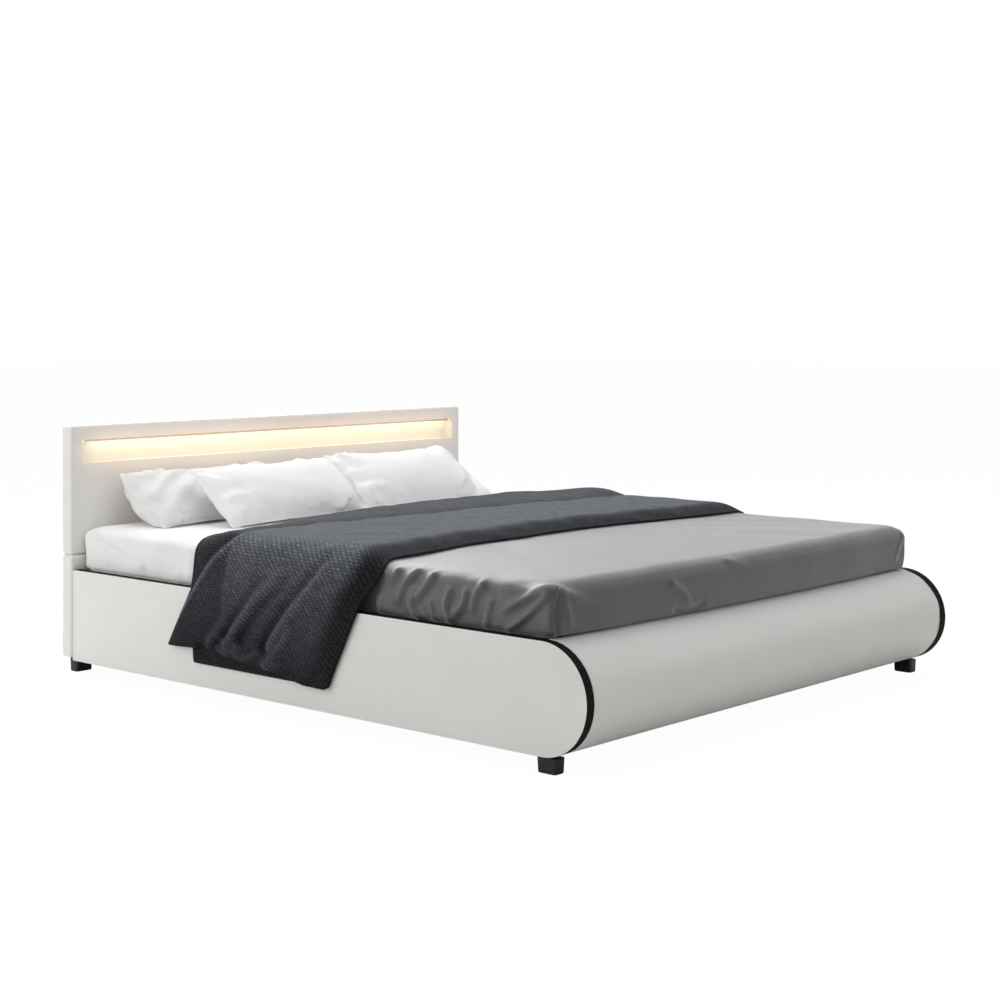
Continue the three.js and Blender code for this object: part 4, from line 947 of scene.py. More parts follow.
# The pleat: the side's cloth laps over the foot's, along a line down the corner
PLEAT = np.array([(-0.997, 0.478), (-0.986, 0.439), (-0.980, 0.395), (-0.988, 0.343), (-0.990, 0.28)])
PLEAT_WITHIN = -0.80
PLEAT_CORNER = -0.905
PLEAT_EDGE = 3.5 * MM
PLEAT_LAP = 0.014
PLEAT_LAP_REACH = 0.05
PLEAT_DIP = -0.006
PLEAT_DIP_REACH = 0.03
PLEAT_TOP = (0.482, -0.02)
pleat_y = np.interp(flat_z, PLEAT[::-1, 1], PLEAT[::-1, 0])
round_corner = flat_y - pleat_y - np.maximum(0, flat_x - PLEAT_CORNER)
lap = np.clip(round_corner / PLEAT_EDGE + 0.5, 0, 1)
lap_depth = PLEAT_LAP * np.exp(-np.maximum(round_corner, 0) / PLEAT_LAP_REACH)
behind = PLEAT_DIP * np.exp(-np.maximum(-round_corner, 0) / PLEAT_DIP_REACH)
pleat_lift = (lap * lap_depth + (1 - lap) * behind) * (flat_x < PLEAT_WITHIN) * (flat_y < PLEAT_WITHIN)
flat_lift += pleat_lift * rising(flat_z, *PLEAT_TOP)
flat_lift = np.maximum(MOST_LIFT * np.tanh(flat_lift / MOST_LIFT), LEAST_LIFT) * free_share
flat_points = flat_points + flat_normals * flat_lift[..., None]
flat_points = add_top(flat_points, (0, FLAT_HEAD_EDGE), top_shares(*FLAT_TOP_STEPS))
flat_sheet = make_object("sheet_flat_grey", flat_points, grid_faces(*flat_points.shape[:2]),
                         uv=sheet_uv(flat_points))
modifier(flat_sheet, "SOLIDIFY", thickness=FLAT_THICKNESS, offset=-1)
piece(flat_sheet, grey_satin, "grey_satin", "flat_sheet")

# Knitted throw, folded in two

THROW_REACH = 1.45
THROW_HEAD_SHARES = [0.345, 0.421, 0.407, 0.28, 0.268, 0.317, 0.331]
THROW_FOOT_SHARES = [0.846, 0.926, 0.992, 0.913, 0.972, 0.966, 0.91]
LAST_PLACE = len(THROW_HEAD_SHARES) - 1
HEM_HEIGHT = 0.115
HANG_X = RAIL_OUTER + RAIL_CLEARANCE
SHEET_TOP = MATTRESS_TOP + SHEETS_THICKNESS
EDGE_X = MATTRESS_HALF + SHEETS_THICKNESS + SIDE_BULGE + RAIL_CLEARANCE
KNIT_THICKNESS = 0.005
COLUMN_STEP = 0.009
TOP_CLEARANCE = 0.6 * MM
# the path's places at the rail's top, at the shoulder's start and end, and in the bed's middle
RAIL_PLACE = 1
SHOULDER_START = 1.8
SHOULDER_END = 2.1
MIDDLE_PLACE = 3
PATH_COUNTS = (24, 12, 12, 60)
SMOOTHING = 7
# how far the foot edge bows towards the head, and where the bow begins and ends
FOOT_BOW = 0.040
FOOT_BOW_BEGINS = (-0.95, 0.08)
FOOT_BOW_ENDS = (-0.2, -0.3)


def share_at(shares, place):
    index = np.minimum(np.floor(place).astype(int), len(shares) - 2)
    t = place - index
    values = np.array(shares)
    hanging = (place < 1) | (place > LAST_PLACE - 1)
    return values[index] + (values[index + 1] - values[index]) * np.where(hanging, t, ease(t))


def throw_path():
    """Underside of the throw across the bed: X, Z and the place from 0 at the near hem to 6 at the far."""
    top_z = SHEET_TOP + TOP_CLEARANCE
    shoulder_z = top_z - SHOULDER_DROP
    low, slope, bend, flat = (np.linspace(0, 1, count) for count in PATH_COUNTS)
    half = [(HANG_X, HEM_HEIGHT + (RAIL_TOP - HEM_HEIGHT) * t, RAIL_PLACE * t) for t in low[:-1]]
    half += [(HANG_X + (EDGE_X - HANG_X) * t, RAIL_TOP + (shoulder_z - RAIL_TOP) * t,
              RAIL_PLACE + (SHOULDER_START - RAIL_PLACE) * t) for t in slope[:-1]]
    half += [(EDGE_X - SHOULDER * (1 - math.cos(t * math.pi / 2)),
              top_z - SHOULDER_DROP * (1 - math.sin(t * math.pi / 2)),
              SHOULDER_START + (SHOULDER_END - SHOULDER_START) * t) for t in bend]
    half += [((EDGE_X - SHOULDER) * (1 - t), top_z, SHOULDER_END + (MIDDLE_PLACE - SHOULDER_END) * t)
             for t in flat[1:]]
    near = np.array(half) * (-1, 1, 1)
    far = np.array(half)[::-1][1:]
    far[:, 2] = LAST_PLACE - far[:, 2]
    path = np.concatenate([near, far])
    along = run_length(path[:, :2], 0)
    even = np.linspace(0, along[-1], int(along[-1] / COLUMN_STEP))
    path = np.stack([np.interp(even, along, path[:, k]) for k in range(3)], axis=1)
    window = np.ones(SMOOTHING) / SMOOTHING
    for k in range(2):
        padded = np.pad(path[:, k], SMOOTHING // 2, mode="reflect", reflect_type="odd")
        path[:, k] = np.convolve(padded, window, mode="valid")
    return path, even


throw_line, throw_along = throw_path()
throw_tangent = unit(np.gradient(throw_line[:, :2], axis=0))
throw_out = np.stack([-throw_tangent[:, 1], throw_tangent[:, 0]], axis=1)
place = throw_line[:, 2]
foot_y = MATTRESS_HEAD - share_at(THROW_FOOT_SHARES, place) * THROW_REACH
head_y = MATTRESS_HEAD - share_at(THROW_HEAD_SHARES, place) * THROW_REACH
foot_y += FOOT_BOW * rising(throw_line[:, 0], *FOOT_BOW_BEGINS) * rising(throw_line[:, 0], *FOOT_BOW_ENDS)
hang = np.clip(1 - np.minimum(place, LAST_PLACE - place) / 2, 0, 1)

# the section from the lower layer's head edge, round the fold at the foot, to the upper layer's
LOWER_COUNT = 34
NOSE_COUNT = 9
UPPER_COUNT = 110
LOWER_OFFSET = 0.0030


def hump_profile(distance, width):
    """Share of the full height at a distance from the fold."""
    t = np.clip(distance / width, 0, 1)
    return np.sqrt(1 - (1 - t) ** 2)


BAND_LINE = np.array([(-0.955, 0.275), (-0.738, 0.285), (-0.348, 0.256), (-0.009, 0.230), (0.343, 0.212),
                      (0.504, 0.175), (0.781, 0.135), (0.955, 0.130)])
HANG_BAND = np.array([(0.16, 0.56), (0.248, 0.494), (0.320, 0.430), (0.414, 0.358), (0.470, 0.300),
                      (0.507, 0.270)])
columns = len(throw_line)
foot = foot_y[None, :]
head = head_y[None, :]
LOWER_HEAD_BACK = 0.015
NOSE_DEPTH = 0.012
LOWER_HANG = 2 * MM
CROWDING_SHARE = 0.8
FOLD_HEIGHT = 0.0295
FOLD_WIDTH = 0.105
BAND_DIP = -0.005
BAND_DIP_PLACE = 0.015
BAND_DIP_WIDTH = 0.022
BAND_RISE = 2 * MM
BAND_RISE_WIDTH = 0.12
# on the far side: where it starts across the bed, how high it lies and where along the bed it gets so
FAR_SIDE = (0.66, 0.16)
FAR_HEIGHT = 0.024
FAR_FALL = 0.010
FAR_ALONG = (0.56, -0.30)
HEAD_DROP_WIDTH = 0.17
FOLD_ROUNDNESS = 1.9
HEAD_ROUNDNESS = 1.7
LEAST_OFFSET = 0.0085
TOP_OFFSET = 0.004
HANG_SWELL = 0.0075
HANG_FOOT_WIDTH = 0.04
HANG_HEAD_WIDTH = 0.03

lower_t = np.linspace(1, 0, LOWER_COUNT)[:, None]
lower_y = foot + NOSE_DEPTH + (head - LOWER_HEAD_BACK - foot - NOSE_DEPTH) * lower_t
lower_o = np.full((LOWER_COUNT, columns), LOWER_OFFSET) + LOWER_HANG * hang
even = np.arange(UPPER_COUNT) / (UPPER_COUNT - 1)
crowded = even - CROWDING_SHARE * np.sin(2 * np.pi * even) / (2 * np.pi)
upper_y = foot + (head - foot) * crowded[:, None]
from_foot = upper_y - foot
from_head = head - upper_y
hump = FOLD_HEIGHT * (1 - (1 - np.clip(from_foot / FOLD_WIDTH, 0, 1)) ** FOLD_ROUNDNESS)
band_y = np.interp(throw_line[:, 0], BAND_LINE[:, 0], BAND_LINE[:, 1])[None, :]
from_band = upper_y - band_y
band_rise = ease(from_band / BAND_RISE_WIDTH)
far_share = rising(throw_line[:, 0], *FAR_SIDE)[None, :]
far_rise = far_share * (FAR_HEIGHT * rising(upper_y, *FAR_ALONG) - FAR_FALL)
head_rise = BAND_DIP * np.exp(-((from_band - BAND_DIP_PLACE) / BAND_DIP_WIDTH) ** 2)
head_rise += (BAND_RISE + far_rise) * band_rise
head_drop = 1 - (1 - np.clip(from_head / HEAD_DROP_WIDTH, 0, 1)) ** HEAD_ROUNDNESS
on_top = (1 - hang)[None, :]
top_offset = TOP_OFFSET + (hump + head_rise) * head_drop
hang_hump = hump_profile(from_foot, HANG_FOOT_WIDTH) * hump_profile(from_head, HANG_HEAD_WIDTH)
hang_offset = LEAST_OFFSET + HANG_SWELL * hang_hump
upper_o = hang_offset * (1 - on_top) + np.maximum(top_offset, LEAST_OFFSET) * on_top
nose_even = np.linspace(0, 1, NOSE_COUNT + 2)[1:-1]
nose_t = nose_even[:, None] * math.pi
low_end = lower_o[-1]
high_end = upper_o[0]
nose_o = (high_end + low_end) / 2 - (high_end - low_end) / 2 * np.cos(nose_t)
nose_y = foot + NOSE_DEPTH * (1 - np.sin(nose_t))
section_y = np.concatenate([lower_y, nose_y, upper_y])
section_o = np.concatenate([lower_o, nose_o, upper_o])
layer = np.concatenate([np.zeros(LOWER_COUNT), nose_even, np.ones(UPPER_COUNT)])[:, None]

throw_points = np.empty((*section_y.shape, 3))
throw_points[..., 0] = throw_line[:, 0] + throw_out[:, 0] * section_o
throw_points[..., 1] = section_y
throw_points[..., 2] = throw_line[:, 1] + throw_out[:, 1] * section_o

# hems: the upper layer ends higher towards the head, the lower one hangs almost level
UPPER_HEM = np.array([(-0.20, 0.132), (-0.165, 0.110), (-0.075, 0.112), (-0.033, 0.121), (0.016, 0.131),
                      (0.091, 0.138), (0.154, 0.143), (0.218, 0.148), (0.271, 0.154), (0.317, 0.170),
                      (0.438, 0.162), (0.55, 0.158)])
NEAR_POWER = 1.3
UNDER_DRAW = 0.10
UNDER_DRAW_FROM = (0.30, 0.15)
rise = np.interp(section_y, UPPER_HEM[:, 0], UPPER_HEM[:, 1]) - HEM_HEIGHT
near_share = np.clip(1 - place, 0, 1)[None, :] ** NEAR_POWER
throw_points[..., 2] += rise * near_share * layer
throw_points[..., 1] -= rising(section_y, *UNDER_DRAW_FROM) * UNDER_DRAW * near_share * (1 - layer)

FOLD_STRENGTH = 1.7
HANG_FOLDS = [
    ([(0.029, 0.423), (0.091, 0.367), (0.154, 0.307), (0.218, 0.245), (0.258, 0.198)], 0.016, 0.003, 0.009),
    ([(-0.153, 0.462), (-0.129, 0.413), (-0.081, 0.364), (-0.033, 0.318), (0.016, 0.272), (0.066, 0.212)],
     0.015, 0.004, 0.010),
    ([(-0.033, 0.273), (0.004, 0.224), (0.078, 0.148)], 0.013, 0.005, 0.008),
    ([(0.264, 0.265), (0.310, 0.222), (0.343, 0.180)], 0.014, 0.003, 0.007),
    ([(0.116, 0.400), (0.167, 0.326), (0.231, 0.265), (0.264, 0.223)], 0.018, -0.003, -0.007),
    ([(-0.008, 0.420), (0.066, 0.349), (0.135, 0.288), (0.199, 0.218)], 0.018, -0.003, -0.007),
    ([(-0.159, 0.489), (-0.093, 0.418), (-0.021, 0.346), (0.041, 0.277), (0.091, 0.209)], 0.018,
     -0.004, -0.008),
    ([(0.210, 0.190), (0.262, 0.166), (0.300, 0.180)], 0.010, 0.005, 0.005),
    ([(0.120, 0.180), (0.165, 0.160), (0.215, 0.168)], 0.009, 0.004, 0.005),
    ([(0.020, 0.165), (0.055, 0.150), (0.095, 0.160)], 0.009, 0.004, 0.004),
    ([(0.30, 0.200), (0.33, 0.172), (0.39, 0.178)], 0.010, -0.005, -0.003),
]
BAND_Z = 0.520
BAND_HALF = 0.008
BAND_HEIGHTS = (0.0035, 0.0025)
HANG_BAND_HEIGHTS = (0.007, 0.009)
NEAR_SIDE = (-0.85, -0.05)
SOFT_WAVE = 1.6 * MM
SOFT_WAVE_SIZE = 0.16
EDGE_CALM = 0.02
EDGE_LEAST_SHARE = 0.3
band_ridge = [(x, y, BAND_Z) for x, y in BAND_LINE]
band_hang = [(0, y, z) for z, y in HANG_BAND]
near_side = rising(throw_points[..., 0], *NEAR_SIDE)
side_points = throw_points * (0, 1, 1)
outward = np.stack([throw_out[:, 0], np.zeros(columns), throw_out[:, 1]], axis=1)[None]
folds = FOLD_STRENGTH * ridge_field(side_points, in_plane(HANG_FOLDS, 0)) * near_side
folds += ridge_field(throw_points, [(band_ridge, BAND_HALF, *BAND_HEIGHTS)])
folds += ridge_field(side_points, [(band_hang, BAND_HALF, *HANG_BAND_HEIGHTS)]) * near_side
soft = SOFT_WAVE * waves(throw_points, THROW_SEED, SOFT_WAVE_SIZE) * (layer > 0.5)
keep_edges = np.clip(np.minimum(np.abs(from_foot), np.abs(from_head)) / EDGE_CALM, EDGE_LEAST_SHARE, 1)
edge_keep = np.concatenate([np.ones((LOWER_COUNT + NOSE_COUNT, columns)), keep_edges])
throw_points += outward * ((folds + soft) * layer * edge_keep)[..., None]

# painted light and shade of the knit, which the mesh carries: painted sheen that makes the top's two fields
# lighter, painted light on ridges and painted shade in hollows, painted shade that darkens the strip at the
# head edge, and a painted highlight along the band
BASE_PAINTED_LIGHT = 0.057
MIDDLE_PAINTED_SHEEN = 0.80
HEAD_PAINTED_SHEEN = 0.7
RIDGE_PAINTED_LIGHT = 30
RIDGE_PAINTED_LIGHT_LIMITS = (-0.006, 0.012)
FIELD_EDGE = 0.014
FIELD_START = (0.05, 0.07)
HEAD_FIELD_SHARES = (0.45, 0.15)
HEAD_FIELD_WIDTH = 0.15
STRIP_PAINTED_SHADE = 0.9
STRIP_EDGE = (0.006, 0.016)
BAND_PAINTED_HIGHLIGHT = (0.006, 0.40, 0.50)
throw_light_and_shade = np.full(section_y.shape, BASE_PAINTED_LIGHT)
# painted sheen on the top's middle field, and a weaker painted sheen on its head field
middle_painted_sheen = ease(0.5 - from_band / FIELD_EDGE) * rising(from_foot, *FIELD_START)
head_even, head_more = HEAD_FIELD_SHARES
head_painted_sheen = ease(from_band / FIELD_EDGE + 0.5) * (head_even + head_more * ease(from_band / HEAD_FIELD_WIDTH))
throw_light_and_shade[LOWER_COUNT + NOSE_COUNT:] += (MIDDLE_PAINTED_SHEEN * middle_painted_sheen + HEAD_PAINTED_SHEEN * head_painted_sheen) * on_top
# painted light on the ridges of the folds and painted shade in their hollows
throw_light_and_shade += np.clip(folds, *RIDGE_PAINTED_LIGHT_LIMITS) * RIDGE_PAINTED_LIGHT * layer
# painted shade in the strip from the band's line to the head edge, on the near side
hang_band_y = np.interp(throw_points[..., 2], HANG_BAND[:, 0], HANG_BAND[:, 1])
throw_light_and_shade *= 1 - STRIP_PAINTED_SHADE * rising(throw_points[..., 1] - hang_band_y, *STRIP_EDGE) * near_side
# a painted highlight along the band's line down the near side
throw_light_and_shade += ridge_field(side_points, [(band_hang, *BAND_PAINTED_HIGHLIGHT)]) * near_side * layer
section_along = run_length(throw_points[:, columns // 2], 0)
throw_uv = np.stack(np.broadcast_arrays(throw_along[None, :], section_along[:, None]), axis=2)
throw = make_object("throw_knit", throw_points, grid_faces(*section_y.shape), uv=throw_uv.reshape(-1, 2),
                    fields={"light_and_shade": np.clip(throw_light_and_shade, 0, 1).ravel()})
modifier(throw, "SOLIDIFY", thickness=KNIT_THICKNESS, offset=0, use_rim=True)
modifier(throw, "SUBSURF", levels=1, render_levels=1)
piece(throw, slate_knit, "slate_knit", "knitted_throw")

# Pillows

PILLOW_WIDTH = 0.660
PILLOW_HEIGHT = 0.290
PILLOW_CROWN = 0.078
PILLOW_DRAW = 0.016
FLANGE = 0.009
FLANGE_HALF = 0.8 * MM
FITTED_TOP = MATTRESS_TOP + 2.9 * MM
LEAST_CLEARANCE = 0.6 * MM
PILLOW_COLUMNS = 74
PILLOW_ROWS = 38
EVENNESS = 0.86
END_POWERS = (3, 7)
SIDE_POWER = 2.4
ROUNDNESS = 0.6
RELIEF_RISE = 3
CASE_WAVE = 1.5 * MM
CASE_WAVE_SIZE = 0.12
FLUTTER = 2.2 * MM
FLUTTER_SIZE = 0.07

# place across, distance of the lower seam from the headboard, turn, tilt, crown share, depth of the
# back, height share, how far the short sides bow in, seed of the draws, and creases on the front face,
# each with its line, half width, and height at its start and at its end
PILLOWS = {
    "pillow_back_left": dict(
        x=-0.450, gap=0.258, yaw=0.04, tilt=0.64, full=0.84, deep=0.100, tall=0.985, draw=(-0.020, -0.004),
        seed=1, creases=[
            ([(-0.09, 0.105), (-0.17, 0.070), (-0.25, 0.030), (-0.30, -0.02)], 0.013, 0.009, 0.006),
            ([(-0.06, 0.055), (-0.13, 0.010), (-0.21, -0.035), (-0.28, -0.09)], 0.014, 0.009, 0.006),
            ([(-0.10, 0.075), (-0.18, 0.035), (-0.25, -0.005)], 0.013, -0.006, -0.006),
            ([(-0.07, 0.005), (-0.15, -0.040), (-0.22, -0.080)], 0.016, -0.005, -0.005),
            ([(-0.31, 0.10), (-0.28, 0.070), (-0.23, 0.095), (-0.17, 0.115)], 0.010, 0.007, 0.005),
            ([(-0.31, -0.01), (-0.27, -0.005), (-0.24, 0.015)], 0.010, 0.006, 0.002)]),
    "pillow_back_right": dict(
        x=0.497, gap=0.260, yaw=-0.18, tilt=0.40, full=0.4, deep=0.03, tall=0.85, draw=(0.008, 0.008),
        seed=2, creases=[
            ([(0.31, -0.10), (0.25, -0.06), (0.18, -0.04)], 0.012, 0.004, 0.001)]),
    "pillow_front_left": dict(
        x=-0.303, gap=0.432, yaw=0.045, tilt=0.70, full=0.92, deep=0.045, tall=1.0, draw=(0.004, 0.010),
        seed=3, creases=[
            ([(-0.31, 0.115), (-0.28, 0.070), (-0.275, 0.025)], 0.010, -0.008, -0.004),
            ([(-0.30, 0.05), (-0.25, 0.015), (-0.20, 0.025)], 0.010, 0.007, 0.002),
            ([(-0.31, -0.045), (-0.27, -0.040), (-0.22, -0.050)], 0.010, 0.007, 0.002),
            ([(-0.31, -0.010), (-0.26, -0.012), (-0.21, -0.020)], 0.011, -0.006, -0.002),
            ([(-0.31, -0.105), (-0.26, -0.095), (-0.21, -0.10)], 0.010, 0.005, 0.001)]),
    "pillow_front_right": dict(
        x=0.385, gap=0.355, yaw=0.04, tilt=0.71, full=0.86, deep=0.045, tall=1.0, draw=(-0.014, -0.004),
        seed=4, creases=[
            ([(-0.33, 0.125), (-0.29, 0.085), (-0.29, 0.045)], 0.010, -0.011, -0.007),
            ([(-0.29, 0.120), (-0.25, 0.085), (-0.26, 0.050)], 0.010, 0.008, 0.004),
            ([(-0.32, 0.010), (-0.26, 0.005), (-0.20, 0.008)], 0.009, 0.007, 0.002),
            ([(-0.30, -0.035), (-0.24, -0.040), (-0.17, -0.048)], 0.009, -0.008, -0.004),
            ([(-0.31, -0.060), (-0.25, -0.066), (-0.19, -0.075)], 0.009, 0.006, 0.002),
            ([(-0.30, -0.100), (-0.24, -0.100), (-0.20, -0.105)], 0.010, -0.005, -0.002)]),
}


def even_places(count):
    """Places from -1 to 1, closer together at the ends."""
    return np.sin(np.linspace(-1, 1, count) * np.pi / 2 * EVENNESS) / math.sin(np.pi / 2 * EVENNESS)


def pillow_grid(spec, columns, rows):
    """Flat places of the front's points, and the share of the crown at each, in front and behind."""
    u, v = np.meshgrid(even_places(columns), even_places(rows))
    half_x = PILLOW_WIDTH / 2 - FLANGE
    half_y = PILLOW_HEIGHT / 2 - FLANGE
    x = u * (half_x - np.where(u < 0, *spec["draw"]) * (1 - v * v))
    y = v * spec["tall"] * (half_y - PILLOW_DRAW * (1 - u * u))
    rise, under = (np.maximum(0, (1 - np.abs(u) ** power) * (1 - np.abs(v) ** SIDE_POWER)) ** ROUNDNESS
                   for power in END_POWERS)
    return x, y, rise, under


SIM_FRAMES = 22
SIM_SHARE = 0.8
SIM_FULLNESS = 0.85
SIM_START_SHARE = 0.25
SIM_DRAW = 0.8 * MM
FLAT_WITHIN = 0.001 * MM
SIM_CLOTH = dict(quality=5, mass=0.25, tension_stiffness=12, compression_stiffness=12, shear_stiffness=4,
                 bending_stiffness=0.15, use_pressure=True, uniform_pressure_force=7)


def blown(name, x, y, rise, deep, seed):
    """Two layers sewn at their edge and blown up by cloth simulation; gives the layers' new places."""
    rows, columns = x.shape
    front = np.stack([x, y, rise * PILLOW_CROWN * SIM_START_SHARE], axis=2)
    back = np.stack([x, y, -rise * deep * SIM_START_SHARE], axis=2)
    inside = np.zeros((rows, columns), bool)
    inside[1:-1, 1:-1] = True
    index = np.arange(rows * columns).reshape(rows, columns)
    back_index = index.copy()
    back_index[inside] = rows * columns + np.arange(inside.sum())
    points = np.concatenate([front.reshape(-1, 3), back[inside]])
    draw = np.random.default_rng(seed)
    points[:, 2] += draw.normal(scale=SIM_DRAW, size=len(points)) * (np.abs(points[:, 2]) > FLAT_WITHIN)
    quads = grid_faces(rows, columns)
    back_quads = back_index.ravel()[quads][:, ::-1]
    obj = make_object(name + "_sim", points, np.concatenate([quads, back_quads]))
    cloth = obj.modifiers.new("cloth", "CLOTH")
    for key, value in SIM_CLOTH.items():
        setattr(cloth.settings, key, value)
    cloth.settings.effector_weights.gravity = 0
    cloth.collision_settings.use_collision = False
    cloth.point_cache.frame_start = 1
    cloth.point_cache.frame_end = SIM_FRAMES
    for number in range(1, SIM_FRAMES + 1):
        scene.frame_set(number)
    result = obj.evaluated_get(bpy.context.evaluated_depsgraph_get())
    places = np.empty(len(result.data.vertices) * 3)
    result.data.vertices.foreach_get("co", places)
    places = places.reshape(-1, 3)
    scene.frame_set(1)
    bpy.data.objects.remove(obj, do_unlink=True)
    return places[index], places[back_index]


def fit_outline(made, target):
    """Stretches a layer so that its outline is the sewn one, and keeps its creases."""
    for axis in (0, 1):
        now, goal = (layer[..., axis] if axis == 0 else layer[..., axis].T for layer in (made, target))
        share = (now - now[:, :1]) / (now[:, -1:] - now[:, :1])
        now[:] = goal[:, :1] + share * (goal[:, -1:] - goal[:, :1])


def pillow(name, spec):
    x, y, rise, under = pillow_grid(spec, PILLOW_COLUMNS, PILLOW_ROWS)
    crown = PILLOW_CROWN * spec["full"]
    depth = spec["deep"]
    front = np.stack([x, y, rise * crown], axis=2)
    back = np.stack([x, y, -under * depth], axis=2)
    sim_front, sim_back = blown(name, x, y, rise, depth, spec["seed"])
    for made, target, size in ((sim_front, front, crown), (sim_back, back, depth)):
        fit_outline(made, target)
        made[..., 2] *= SIM_FULLNESS * size / np.abs(made[..., 2]).max()
        target += (made - target) * SIM_SHARE
    relief = ridge_field(front * (1, 1, 0), in_plane(spec["creases"], 2))
    relief += CASE_WAVE * waves(front, spec["seed"] + CASE_SEEDS_FROM, CASE_WAVE_SIZE)
    front[..., 2] += relief * ease(rise * RELIEF_RISE) + FLANGE_HALF
    back[..., 2] -= FLANGE_HALF
    rows, columns = x.shape
    index = np.arange(rows * columns).reshape(rows, columns)
    # the grid's outer points, once round
    loop = np.concatenate([index[0, :-1], index[:-1, -1], index[-1, :0:-1], index[:0:-1, 0]])
    front = front.reshape(-1, 3)
    back = back.reshape(-1, 3)
    ring = front[loop]
    along = np.roll(ring, -2, axis=0) - np.roll(ring, 2, axis=0)
    out = unit(np.stack([along[:, 1], -along[:, 0], np.zeros(len(ring))], axis=1))
    shift = out * FLANGE
    shift[:, 2] += FLUTTER * waves(ring, spec["seed"] + FLUTTER_SEEDS_FROM, FLUTTER_SIZE)
    points = np.concatenate([front, back, ring + shift, back[loop] + shift])
    quads = grid_faces(rows, columns)
    size = rows * columns
    faces = [quads, quads[:, ::-1] + size]
    front_edge = 2 * size + np.arange(len(loop))
    borders = (loop, front_edge, front_edge + len(loop), size + loop)
    faces += [bridge(inner, outer, flip=True) for inner, outer in zip(borders, borders[1:])]
    uv = points[:, :2].copy()
    points[:, 1] += spec["tall"] * PILLOW_HEIGHT / 2
    tilt = np.array(Euler((spec["tilt"], 0, 0)).to_matrix())
    turn = np.array(Euler((0, 0, spec["yaw"])).to_matrix())
    points = points @ tilt.T @ turn.T + (spec["x"], HEAD_Y - spec["gap"], FITTED_TOP + SEAT_GAP)
    points[:, 2] = np.maximum(points[:, 2], FITTED_TOP + LEAST_CLEARANCE)
    obj = make_object(name + "_case", points, np.concatenate(faces), uv=uv)
    modifier(obj, "SUBSURF", levels=1, render_levels=1)
    piece(obj, shaded_pillow_cotton, "white_cotton", name)
    return obj


pillow_pieces = [pillow(pillow_name, pillow_spec) for pillow_name, pillow_spec in PILLOWS.items()]

# Studio: floor, surroundings and lights

FLOOR_HALF = 40.0
FLOOR_CORNERS = ((-1, -1, 0), (1, -1, 0), (1, 1, 0), (-1, 1, 0))
floor = make_object("floor", np.array(FLOOR_CORNERS) * FLOOR_HALF, [(0, 1, 2, 3)])
floor_shade = Shade("floor", 0.8, Base_Color=(0.70, 0.69, 0.68, 1), Specular_IOR_Level=0.1)
seen = floor_shade.node("LightPath").outputs["Is Camera Ray"]
pale = floor_shade.node("Emission", Color=(1, 1, 1, 1), Strength=0.97)
faint = floor_shade.node("BsdfDiffuse", Color=(0.05, 0.05, 0.05, 1))
both = floor_shade.node("AddShader", i0=pale.outputs[0], i1=faint.outputs[0])
choice = floor_shade.node("MixShader", Fac=seen, i1=floor_shade.surface.outputs[0], i2=both.outputs[0])
floor_output = next(n for n in floor_shade.tree.nodes if n.type == "OUTPUT_MATERIAL")
feed(floor_shade.tree, floor_output.inputs["Surface"], choice.outputs[0])
floor.data.materials.append(floor_shade.material)

# places on the sky's ramp, and their colours
SKY = ((0.12, (0.62, 0.615, 0.61, 1)), (0.85, (0.30, 0.31, 0.32, 1)))
world = bpy.data.worlds.new("studio")
scene.world = world
world.use_nodes = True
sky_tree = world.node_tree
sky_tree.nodes.clear()
sky_place = add_node(sky_tree, "TexCoord").outputs["Generated"]
sky_parts = add_node(sky_tree, "SeparateXYZ", Vector=sky_place).outputs
sky_ramp = add_node(sky_tree, "ValToRGB", Fac=sky_parts["Z"])
for element, (position, colour) in zip(sky_ramp.color_ramp.elements, SKY):
    element.position = position
    element.color = colour
soft_back = add_node(sky_tree, "Background", Color=sky_ramp.outputs["Color"], Strength=1.0)
white_back = add_node(sky_tree, "Background", Color=(1, 1, 1, 1))
world_seen = add_node(sky_tree, "LightPath").outputs["Is Camera Ray"]
world_mix = add_node(sky_tree, "MixShader", i0=world_seen, i1=soft_back.outputs[0], i2=white_back.outputs[0])
add_node(sky_tree, "OutputWorld", Surface=world_mix.outputs[0])


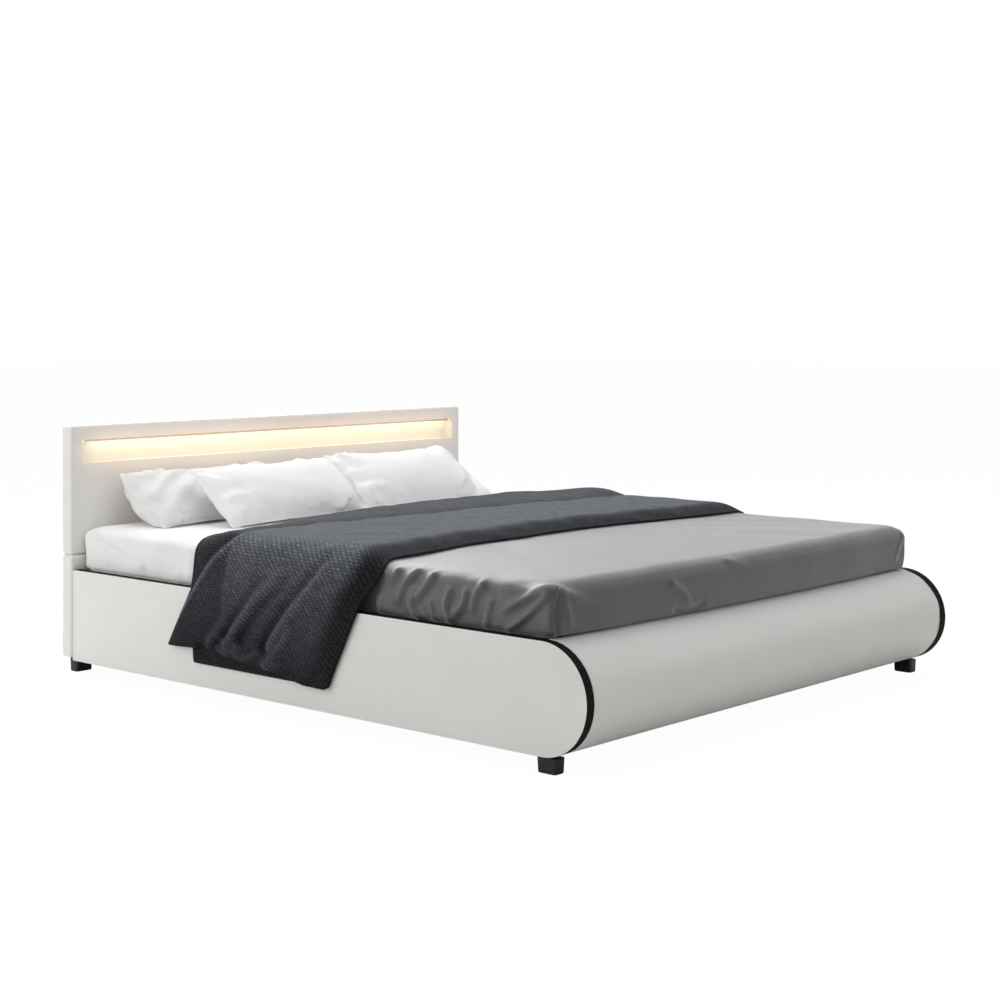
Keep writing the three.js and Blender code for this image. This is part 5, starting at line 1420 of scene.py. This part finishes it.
def area_light(name, place, target, size, power, colour=(1, 1, 1), size_y=None):
    data = bpy.data.lights.new(name, "AREA")
    data.energy = power
    data.color = colour
    data.size = size
    if size_y:
        data.shape = "RECTANGLE"
        data.size_y = size_y
    obj = bpy.data.objects.new(name, data)
    obj.location = place
    heading = np.array(target, float) - np.array(place, float)
    flat = math.hypot(heading[0], heading[1])
    pitch = math.atan2(flat, -heading[2])
    obj.rotation_euler = (pitch, 0, math.atan2(-heading[0], heading[1]) if flat > 1e-6 else 0)
    obj.visible_camera = False
    scene.collection.objects.link(obj)
    return obj


# name, place, what it points at, size and power
LIGHTS = (
    ("key_left", (-4.2, 2.4, 2.2), (0, 0.4, 0.2), 3.0, 56),
    ("fill_front", (-1.2, -4.0, 3.6), (0, 0.4, 0.4), 3.0, 5),
    ("top_back", (1.2, 3.6, 3.0), (0.0, -0.2, 0.4), 3.5, 158),
    ("top_soft", (0.3, 0.2, 4.0), (0.3, 0.2, 0), 4.0, 78),
)
for light in LIGHTS:
    area_light(*light)

# A soft light from the front for the pillows alone, but for the rear left one
PILLOW_LIGHT = ("pillow_light", (-1.5, -5.0, 0.9), (0, 0.7, 0.55), 2.5, 70)
lit_pillows = bpy.data.collections.new("lit_pillows")
for lit in pillow_pieces[1:]:
    lit_pillows.objects.link(lit)
area_light(*PILLOW_LIGHT).light_linking.receiver_collection = lit_pillows

# The strip's light in the recess, tilted to the front, and its spill on what lies before it
LED_POWER = 0.26
LED_SPAN = 1.74
LED_DEPTH = 0.012
LED_X = 0.02
LED_GAP = 1 * MM
LED_AIM = 0.30
SPILL_POWER = 0.36
SPILL_SPAN = 1.78
SPILL_DEPTH = 0.03
SPILL_COLOUR = (1.0, 0.60, 0.30)
SPILL_BEFORE = 0.07
SPILL_RISE = 0.008
led_y = (diffuser_low[1] + diffuser_high[1]) / 2
spill_z = (OPENING_LOW + OPENING_HIGH) / 2 + SPILL_RISE
area_light("led_spill", (0, HEAD_Y - SPILL_BEFORE, spill_z), (0, HEAD_Y, spill_z), SPILL_SPAN, SPILL_POWER,
           SPILL_COLOUR, SPILL_DEPTH)
area_light("led_light", (LED_X, led_y, diffuser_low[2] - LED_GAP), (LED_X, led_y + LED_AIM, 0), LED_SPAN,
           LED_POWER, WARM, LED_DEPTH)

scene.view_settings.view_transform = "Standard"
scene.view_settings.look = "None"
